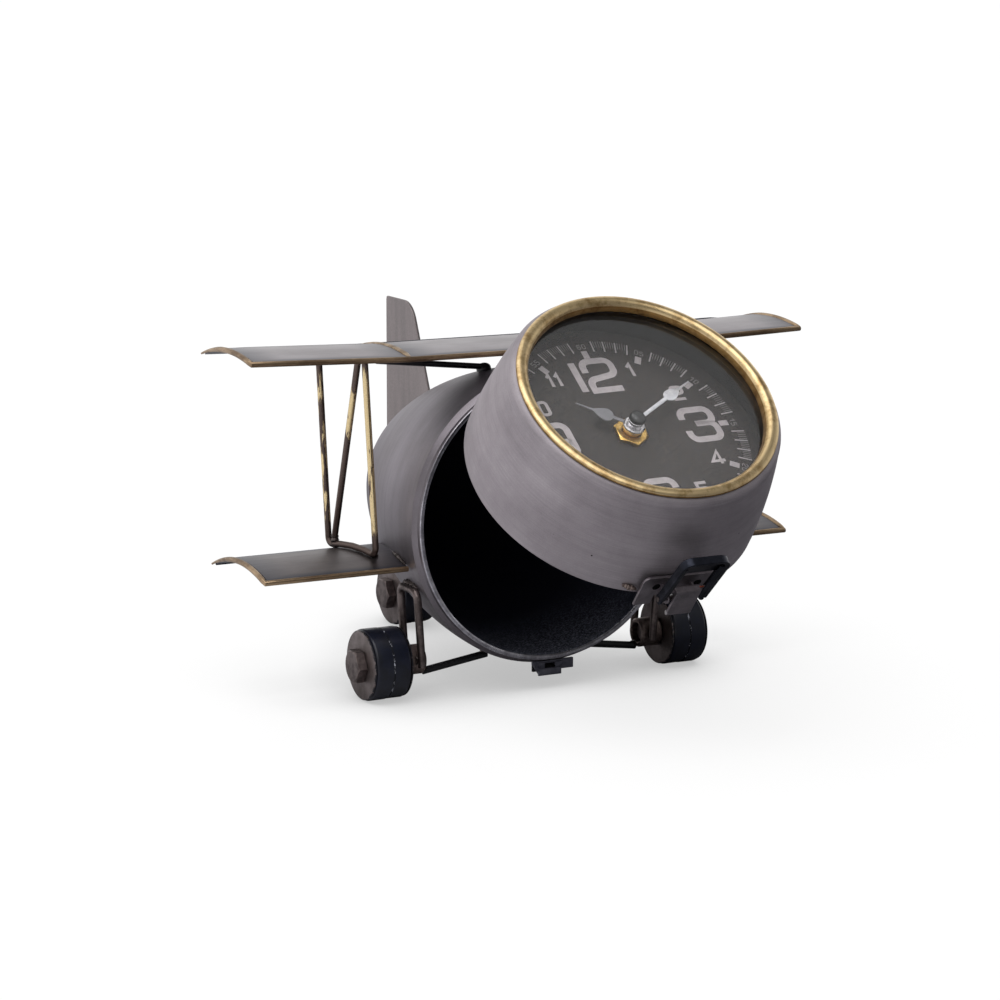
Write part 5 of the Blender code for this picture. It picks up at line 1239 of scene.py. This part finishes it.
def make_dial_print():
    """Numerals, hour squares, minute ticks and minute numbers, printed pale on the charcoal dial."""
    lift = -dial_depth - ink_lift
    print_place = lid_to_world @ Matrix.Rotation(dial_turn, 4, "Y")
    big, small, tiny = (19.2, 3.1, 3.2), (8.2, 1.5, 1.3), (2.7, 0.36, 0.45)
    numerals = bmesh.new()
    for glyph, x, z, width in (("I", -8.9, 32.6, 5.0), ("2", 2.1, 32.6, 16.2), ("3", 33.6, 0.8, 16.9),
                               ("6", 0.4, -33.6, 15.9), ("9", -33.6, 0.8, 16.9)):
        draw_glyph(numerals, glyph, (x, z), width, big, lift)
    for glyph, x, z, width in (("1", 16.2, 33.6, 3.6), ("2", 31.6, 18.6, 6.4), ("4", 32.6, -17.6, 7.4),
                               ("5", 18.6, -32.6, 6.0), ("7", -18.6, -32.6, 6.0), ("8", -32.6, -17.6, 6.0),
                               ("1", -37.4, 18.2, 3.2), ("0", -31.4, 18.2, 5.2),
                               ("1", -22.2, 32.4, 3.2), ("1", -18.4, 32.4, 3.2)):
        draw_glyph(numerals, glyph, (x, z), width, small, lift)
    make_piece("dial_numerals", numerals, dial_ink, "lid", print_place)

    track, fine_track = bmesh.new(), bmesh.new()
    track_edge = 51.8

    def tick(bm, turn, start, end, width):
        """One mark on the dial, pointing outward."""
        ray = Vector((sin(turn), cos(turn)))
        ribbon(bm, [ray * start, ray * end], width, lift)

    for hour in range(12):
        angle = hour * tau / 12
        tick(track, angle, 42.3, 46.5, 2.8)
        for minute in range(1, 5):
            place = angle + minute * tau / 60
            tick(track, place, 46.0, track_edge, 0.65)
            if minute < 4:
                for fifth in range(1, 5):
                    tick(fine_track, place + fifth * tau / 300, 48.2, track_edge, 0.3)
    make_piece("minute_track", track, dial_ink, "lid", print_place)
    make_piece("second_track", fine_track, faint_ink, "lid", print_place)

    numbers = bmesh.new()
    number_radius, digit_width, digit_step = 48.9, 1.75, 2.3
    for hour in range(1, 13):
        angle = hour * tau / 12
        outward, along = Vector((sin(angle), cos(angle))), Vector((cos(angle), -sin(angle)))
        for index, digit in enumerate(f"{hour * 5:02d}"):
            centre = outward * number_radius + along * ((index - 0.5) * digit_step)
            draw_glyph(numbers, digit, centre, digit_width, tiny, lift, -angle)
    make_piece("minute_numbers", numbers, faint_ink, "lid", print_place)


def blade(stations, ridge):
    """A stamped hand along +Z, flat behind and folded to a low ridge, from (along, half width) pairs."""
    bm = bmesh.new()
    rows = []
    front = -hand_thickness
    for along, half in stations:
        crown = ridge * min(1.0, half / 1.2)
        section = ((-half, 0.0), (-half, front), (0.0, front - crown), (half, front), (half, 0.0))
        rows.append([bm.verts.new((x, y, along)) for x, y in section])
    for first, second in zip(rows, rows[1:]):
        for index in range(5):
            after = (index + 1) % 5
            bm.faces.new((first[index], first[after], second[after], second[index]))
    bm.faces.new(rows[0])
    bm.faces.new(list(reversed(rows[-1])))
    return bm


def spade_stations(length, start, root, spade, place, reach, tip):
    """Half widths along a spade hand: a thin shank, a leaf that swells and narrows, and a needle tip."""
    stations = [(start, root / 2), (length * (place - reach), root / 2)]
    steps = 12
    for step in range(1, steps + 1):
        share = step / steps
        along = length * (place + reach * (2 * share - 1))
        leaf = sin(pi * min(1.0, share ** 0.62)) if share < 1 else 0.0
        base = root / 2 + (tip / 2 - root / 2) * share
        stations.append((along, max(base, spade / 2 * leaf ** 0.8)))
    stations.append((length, tip / 4))
    return stations


def make_hands():
    """Leaf-shaped hands on turned collets, the arbor's gloss black cap and the brass nut under them."""
    bore = arbor_radius + seat_gap
    for name, length, height, angle, collet, widths, finish in (
            ("hour_hand", 25.0, hour_hand_height, hour_hand_angle, hour_collet_radius,
             (1.5, 6.6, 0.54, 0.18, 1.0), hour_metal),
            ("minute_hand", 37.5, minute_hand_height, minute_hand_angle, minute_collet_radius,
             (1.6, 5.4, 0.69, 0.13, 1.0), hand_metal)):
        seat = lid_to_world @ Matrix.Translation((0, -dial_depth - height, 0))
        place = seat @ Matrix.Rotation(angle, 4, "Y")
        leaf = blade(spade_stations(length, collet * 0.8, *widths), 0.3)
        make_piece(f"{name}_leaf", leaf, finish, name, place, [name], smooth=20)
        rim = collet * 0.12
        front = -hand_thickness - 0.5
        dish_y = front + 0.25
        ring = [(bore, hand_collet_length), (collet * 0.88, hand_collet_length), (collet * 0.92, 0.4),
                (collet, 0.2), (collet, front + rim), (collet - rim, front), (collet * 0.62, front),
                (collet * 0.58, dish_y), (bore, dish_y)]
        make_piece(f"{name}_collet", spun(ring, 48), collet_metal, name, place, smooth=35)
    back = -dial_depth - minute_hand_height - hand_thickness - 0.2 - seat_gap
    skirt = back - cap_height * 0.4
    cap = [(bore, back), (cap_radius - 0.2, back), (cap_radius, back - 0.2), (cap_radius, skirt)]
    cap += arc((0, skirt), (cap_radius, cap_height * 0.6), 0, -pi / 2, 10)[1:]
    cap += [(0, -arbor_end), (bore, -arbor_end)]
    make_piece("gloss_cap", spun(cap, 48), cap_black, "minute_hand", lid_to_world,
               ["hand_cap"])
    nut = hex_head(dial_nut_across, dial_nut_thickness, bush_radius + seat_gap)
    seat = lid_to_world @ Matrix.Translation((0, -dial_depth - seat_gap, 0))
    make_piece("brass_nut", nut, nut_brass, "lid", seat @ Matrix.Rotation(pi / 6, 4, "Y"),
               ["dial_nut"], smooth=30)


def rounded_box(size, corner, steps=6):
    """Outline of a square with round corners, about the origin."""
    points = []
    middle = size / 2 - corner
    for quarter, (side, end) in enumerate(((1, 1), (-1, 1), (-1, -1), (1, -1))):
        points += arc((side * middle, end * middle), corner, quarter * pi / 2, (quarter + 1) * pi / 2, steps)
    return points


def make_movement():
    """The quartz movement behind the dial: case with its battery bay, contacts, cell and knob."""
    front_y = -dial_depth + dial_thickness + seat_gap
    back_y = front_y + movement_thickness
    bay_half = battery_length / 2 + 1.0 + bay_clearance
    bay_radius = battery_radius + bay_clearance
    bay_low, bay_high = -battery_drop - bay_radius, -battery_drop + bay_radius
    half = movement_width / 2
    floor_y = back_y - 2 * bay_radius
    step_y = floor_y - 0.05
    case = rounded_box(movement_width, movement_corner)
    walls = [
        [(-half, bay_high), (half, bay_high)] + [(x, z) for x, z in case if z > bay_high],
        [(x, z) for x, z in case if z < bay_low] + [(half, bay_low), (-half, bay_low)],
        [(-half, bay_low), (-bay_half, bay_low), (-bay_half, bay_high), (-half, bay_high)],
        [(bay_half, bay_low), (half, bay_low), (half, bay_high), (bay_half, bay_high)],
    ]
    shell = [prism(case, "Y", front_y, step_y)] + [prism(wall, "Y", step_y, back_y) for wall in walls]
    make_piece("movement_shell", merged(*shell), black_plastic, "lid", lid_to_world,
               ["movement_case"], bevel=0.4)
    collar_in, collar_out, collar_low, collar_top = 6.2, 7.4, back_y - 0.2, back_y + 0.15
    ridge = [(collar_in, collar_low), (collar_out, collar_low), (collar_out, collar_top),
             (collar_in, collar_top)]
    make_piece("knob_collar", moved(spun(ridge, 48), (0, 0, knob_offset)), black_plastic, "lid",
               lid_to_world)
    for side, word in ((-1, "minus"), (1, "plus")):
        x_range = sorted((side * bay_half, side * (bay_half - 0.35)))
        strip = block(x_range, (floor_y + 2.0, back_y - 1.5), (-battery_drop - 4.0, -battery_drop + 4.0))
        make_piece(f"contact_{word}", strip, cell_metal, "lid", lid_to_world, bevel=0.1)
    cell = battery_length / 2
    outline = [(0, -cell), (battery_radius - 1.2, -cell), (battery_radius - 1.0, -cell + 0.3),
               (battery_radius - 0.3, -cell + 0.3), (battery_radius, -cell + 0.8),
               (battery_radius, cell - 0.8), (battery_radius - 0.3, cell - 0.3),
               (battery_radius - 1.4, cell - 0.3), (battery_radius - 1.6, cell), (2.7, cell),
               (2.7, cell + 0.8), (2.5, cell + 1.0), (0, cell + 1.0)]
    finishes = [1] * 2 + [0] * 5 + [1] * 6
    cell_y = back_y - battery_radius - bay_clearance
    make_piece("dry_cell", moved(along_x(spun(outline, 48, finishes)), (0, cell_y, -battery_drop)),
               [sleeve_print, cell_metal], "lid", lid_to_world, ["battery"])
    knob_back = back_y + seat_gap
    stem_y = back_y - movement_thickness / 3 + seat_gap
    stem_radius = 1.5
    flutes, flute_depth = 36, 0.35
    ring = []
    for step in range(flutes * 2):
        radius = knob_radius - (flute_depth if step % 2 else 0.0)
        turn = tau * step / flutes / 2
        ring.append((radius * sin(turn), radius * cos(turn)))
    grip = prism(ring, "Y", knob_back, knob_back + knob_length)
    stem_end = knob_back + 0.5
    shaft = spun([(0, stem_y), (stem_radius, stem_y), (stem_radius, stem_end), (0, stem_end)], 24)
    make_piece("knurled_knob", moved(merged(grip, shaft), (0, 0, knob_offset)), black_plastic, "setting_knob",
               lid_to_world, ["setting_knob"], smooth=20)


def make_latch_plate(back, plate_low, pivot_y, pivot_z):
    """The latch plate with its ears and tab, black discs of painted shade where its screw holes are, and the
    spot weld beside it.
    """
    plate_top = plate_low + latch_plate_thickness
    half = latch_plate_width / 2
    corner = latch_plate_corner
    inner_x, front_y = half - corner, back - latch_plate_length + corner
    tab_x = latch_tab_width - half
    outline = arc((inner_x, back - corner), corner, 0, pi / 2, 8)
    outline += [(tab_x, back), (tab_x, latch_tab_reach), (-half, latch_tab_reach)]
    outline += arc((-inner_x, front_y), corner, pi, pi * 1.5, 8)
    outline += arc((inner_x, front_y), corner, pi * 1.5, tau, 8)
    parts = [prism(outline, "Z", plate_low, plate_top)]
    ear_front, ear_back = pivot_y - latch_ear_length / 2, pivot_y + latch_ear_length / 2
    root = plate_low + 0.3
    for side in (-1, 1):
        ear_x = sorted((side * latch_ear_spread, side * (latch_ear_spread - latch_ear_thickness)))
        ear = [(ear_front, root), (ear_front, pivot_z)]
        ear += arc((pivot_y, pivot_z), lever_eye_radius, pi, tau, 10)
        ear += [(ear_back, pivot_z), (ear_back, root)]
        parts.append(prism(ear, "X", *ear_x))
    make_piece("latch_base", merged(*parts), latch_steel, "lid", lid_to_world,
               ["latch_plate"], bevel=0.22)
    centre_y = back - latch_plate_length / 2
    shade_low, shade_top = plate_low - 0.02, plate_low + 0.02
    # Painted shade: flat black discs on the solid plate stand in for its screw holes
    for side, word in ((-1, "left"), (1, "right")):
        hole = spun([(0, shade_low), (latch_hole_radius, shade_low), (latch_hole_radius, shade_top),
                     (0, shade_top)], 32)
        hole = moved(turned(hole, pi / 2, "X"), (side * latch_hole_spread, centre_y, 0))
        make_piece(f"latch_hole_shade_{word}", hole, painted_hole_shade, "lid", lid_to_world)
    blob = [(-half - 5.5, -4.0, -58.6), (-half - 3.0, -3.8, -60.1), (-half - 0.3, -3.4, -61.2)]
    make_piece("latch_spot_weld", weld(blob, 1.05, 6.0), sleeve_steel, "lid", lid_to_world)


def make_lever(place):
    """The blued lever: two legs from the pivot to a rounded nose, with a dished bar and folded flanges."""
    width = lever_leg_spread + lever_leg_thickness
    nose = -lever_length
    round_in = lever_nose_corner - lever_leg_thickness
    turn_x, turn_y = width - lever_nose_corner, nose + lever_nose_corner
    high = lever_leg_height / 2
    wide_corner = (lever_nose_corner + lever_wide_leg, lever_nose_corner)
    outline = [(width + lever_wide_leg, 0)] + arc((turn_x, turn_y), wide_corner, 0, -pi / 2, 8)
    outline += arc((-turn_x, turn_y), lever_nose_corner, -pi / 2, -pi, 8)
    outline += [(-width, 0), (-lever_leg_spread, 0)] + arc((-turn_x, turn_y), round_in, -pi, -pi / 2, 8)
    outline += arc((turn_x, turn_y), round_in, -pi / 2, 0, 8) + [(lever_leg_spread, 0)]
    parts = [prism(outline, "Z", -high, high)]
    for side in (-1, 1):
        inner, outer = sorted((side * (lever_leg_spread + 0.1), side * (width - 0.1)))
        eye = [(0, inner), (lever_eye_radius, inner), (lever_eye_radius, outer), (0, outer)]
        parts.append(along_x(spun(eye, 32)))
    bar_half = lever_leg_spread + lever_leg_thickness / 2
    flange_x, flange_z, flange_curl, columns = 7.1, -high + 0.45, 0.35, 4
    for side in (-1, 1):
        flange = []
        for column in range(columns + 1):
            x = side * (flange_x + lever_flange_width * column / columns)
            z = flange_z + flange_curl * (1 - column / columns) ** 2
            flange.append([(x, y, z) for y in (0.0, -4.0, -8.0, -12.0, -16.0, nose + 4.0)])
        parts.append(thick_sheet(flange, lever_flange_thickness))
    rows = []
    steps = 12
    bar_z = -high + lever_bar_thickness / 4 + lever_bar_thickness / 2
    for step in range(steps + 1):
        share = step / steps
        y = nose + lever_leg_thickness / 2 + (lever_bar_length - lever_leg_thickness / 2) * share
        sag = lever_dish * sin(pi / 2 * share)
        behind = max(0.0, turn_y - y)
        reach = turn_x + sqrt(max(0.0, lever_nose_corner ** 2 - behind ** 2)) - lever_leg_thickness / 2
        rows.append([(min(bar_half, reach) * (column / 5 - 1), y, bar_z + sag) for column in range(11)])
    parts.append(thick_sheet(rows, lever_bar_thickness))
    make_piece("lever_loop", merged(*parts), dark_steel, "latch_lever", place,
               ["latch_lever"], bevel=0.3)
    spot = block((5.4, 7.4), (-7.2, -6.6), (-0.5, 0.1))
    make_piece("rust_fleck", spot, rust, "latch_lever", place, bevel=0.15)


def make_hook(place):
    """The hook plate that hangs on the lever's pin, and the pale curl at its edge."""
    half = hook_width / 2
    low = -hook_drop
    top = low + hook_thickness
    lip_y, lip_top = hook_length - hook_thickness, top + hook_lip
    outline = arc((0, 0), hook_eye_radius, 0, pi, 12)
    outline += [(-hook_eye_radius, low), (hook_length, low), (hook_length, lip_top), (lip_y, lip_top),
                (lip_y, top), (hook_eye_radius, top)]
    make_piece("hook_plate", prism(outline, "X", -half, half), latch_steel, "latch_hook", place,
               ["latch_hook"], bevel=0.2)
    curl_y, curl_z = hook_length - 0.9, low + 0.9
    curl = tube([(-half - 0.02, curl_y, curl_z), (-half + 0.7, curl_y, curl_z)], hook_curl_radius, 24)
    make_piece("hook_curl", curl, pale_steel, "latch_hook", place)


def make_latch():
    """The latch at the foot of the lid, each moving part on its own pin."""
    back = -latch_plate_setback
    plate_low = -drum_rim_radius - seat_gap - latch_plate_thickness
    pivot_y = back - latch_pivot_setback
    pivot_z = plate_low - latch_pivot_drop
    make_latch_plate(back, plate_low, pivot_y, pivot_z)
    pivot = lid_to_world @ Matrix.Translation((0, pivot_y, pivot_z))
    pivot = pivot @ Matrix.Rotation(lever_rest_angle, 4, "X")
    make_lever(pivot)
    pin = pivot @ Matrix.Translation((0, -hook_pin_setback, 0))
    make_hook(pin @ Matrix.Rotation(-lever_rest_angle, 4, "X"))


make_fuselage()
make_fin()
make_wings()
make_struts()
make_cabane()
make_front_gear()
make_tail_gear()
make_catch()
make_drum()
make_bezel()
make_face()
make_dial_print()
make_hands()
make_movement()
make_latch()


# Studio


def seen_plainly(tree):
    """1 for rays from the camera, straight or through glass, and 0 for all others."""
    path = add(tree, "LightPath")
    return add(tree, "Math", [path.outputs["Is Camera Ray"], path.outputs["Is Transmission Ray"]],
               operation="MAXIMUM")


def make_floor():
    """A plain pale floor. The camera sees it near white, greyer in the clock's shadow and close under it.
    Its light on the clock fades towards the right, as the photo's does."""
    mesh = bpy.data.meshes.new("studio_floor")
    half = 60.0
    corners = [(-half, -half, 0.0), (half, -half, 0.0), (half, half, 0.0), (-half, half, 0.0)]
    mesh.from_pydata(corners, [], [(0, 1, 2, 3)])
    floor = bpy.data.objects.new("studio_floor", mesh)
    bpy.context.scene.collection.objects.link(floor)
    material, tree = new_material("pale_studio_paper")
    paper = add(tree, "BsdfDiffuse", {"Color": "#ffffff"})
    nearby = add(tree, "AmbientOcclusion", {"Distance": 0.06}).outputs["AO"]
    brightness = add(tree, "MapRange", [nearby, 0.3, 0.95, 0.62, 1.05])
    glow = add(tree, "Emission", {"Color": "#ffffff", "Strength": brightness})
    seen = add(tree, "MixShader", [0.76, paper, glow])
    across = add(tree, "SeparateXYZ", [add(tree, "TexCoord").outputs["Object"]]).outputs["X"]
    dim = add(tree, "BsdfDiffuse", {"Color": two_tone(tree, across, -0.26, 0.06, "#f2f2f4", "#737377")})
    both = add(tree, "MixShader", [seen_plainly(tree), dim, seen])
    add(tree, "OutputMaterial", {"Surface": both})
    mesh.materials.append(material)


def make_surround():
    """The studio round the clock: white to the camera, and to the clock dim but for three soft patches,
    behind it, to its left and to its right."""
    world = bpy.context.scene.world or bpy.data.worlds.new("studio")
    bpy.context.scene.world = world
    world.use_nodes = True
    tree = world.node_tree
    tree.nodes.clear()
    way = add(tree, "TexCoord").outputs["Generated"]
    level = None
    patches = (((0.25, 1.0, 0.1), 0.35, 0.85, 0.72), ((-0.9, 0.3, -0.05), 0.3, 0.95, 0.6),
               ((1.0, 0.1, 0.0), 0.55, 0.95, 0.45))
    for direction, low, high, strength in patches:
        aim = tuple(Vector(direction).normalized())
        match = add(tree, "VectorMath", [way, aim], operation="DOT_PRODUCT")
        patch = add(tree, "MapRange", [match, low, high, 0.0, strength], interpolation_type="SMOOTHSTEP")
        level = add(tree, "Math", [level, patch], operation="ADD") if level else patch
    level = add(tree, "Math", [level, 0.15], operation="ADD")
    strength = add(tree, "Mix", [seen_plainly(tree), level, 1.0])
    surround = add(tree, "Background", {"Color": "#ffffff", "Strength": strength})
    add(tree, "OutputWorld", {"Surface": surround})


def make_lamps():
    """Two broad soft lamps from above, the key to the left of the nose and the fill behind it."""
    lamps = (("key_lamp", 60, -30, 1.3, 60), ("fill_lamp", 66, -120, 0.7, 50))
    for name, height, heading, strength, width in lamps:
        lamp = bpy.data.lights.new(name, "SUN")
        lamp.energy = strength
        lamp.angle = radians(width)
        holder = bpy.data.objects.new(name, lamp)
        bpy.context.scene.collection.objects.link(holder)
        rise, side = radians(height), radians(heading)
        toward = Vector((sin(side) * cos(rise), -cos(side) * cos(rise), sin(rise)))
        holder.rotation_euler = toward.to_track_quat("Z", "Y").to_euler()


def make_camera():
    """The photo's camera: a long lens on the left of the nose, a little above it."""
    azimuth, elevation, roll = 26.987, 10.862, 0.1496
    place_mm = Vector((-561.67, -1054.84, 236.93))
    image_width, focal_pixels = 1000, 2875.54
    lens = bpy.data.cameras.new("photo_camera")
    lens.sensor_width = 36.0
    lens.lens = focal_pixels / image_width * lens.sensor_width
    lens.clip_end = 200.0
    camera = bpy.data.objects.new("photo_camera", lens)
    bpy.context.scene.collection.objects.link(camera)
    side, rise, tilt = radians(azimuth), radians(elevation), radians(roll)
    ahead = Vector((sin(side) * cos(rise), cos(side) * cos(rise), -sin(rise)))
    right = Vector((cos(side), -sin(side), 0.0))
    up = right.cross(ahead)
    level_right = right * cos(tilt) + up * sin(tilt)
    level_up = -right * sin(tilt) + up * cos(tilt)
    turn = Matrix((level_right, level_up, -ahead)).transposed()
    camera.matrix_world = Matrix.Translation(mouth + place_mm * millimetre) @ turn.to_4x4()
    bpy.context.scene.camera = camera


make_floor()
make_surround()
make_lamps()
make_camera()
bpy.context.scene.view_settings.view_transform = "Standard"
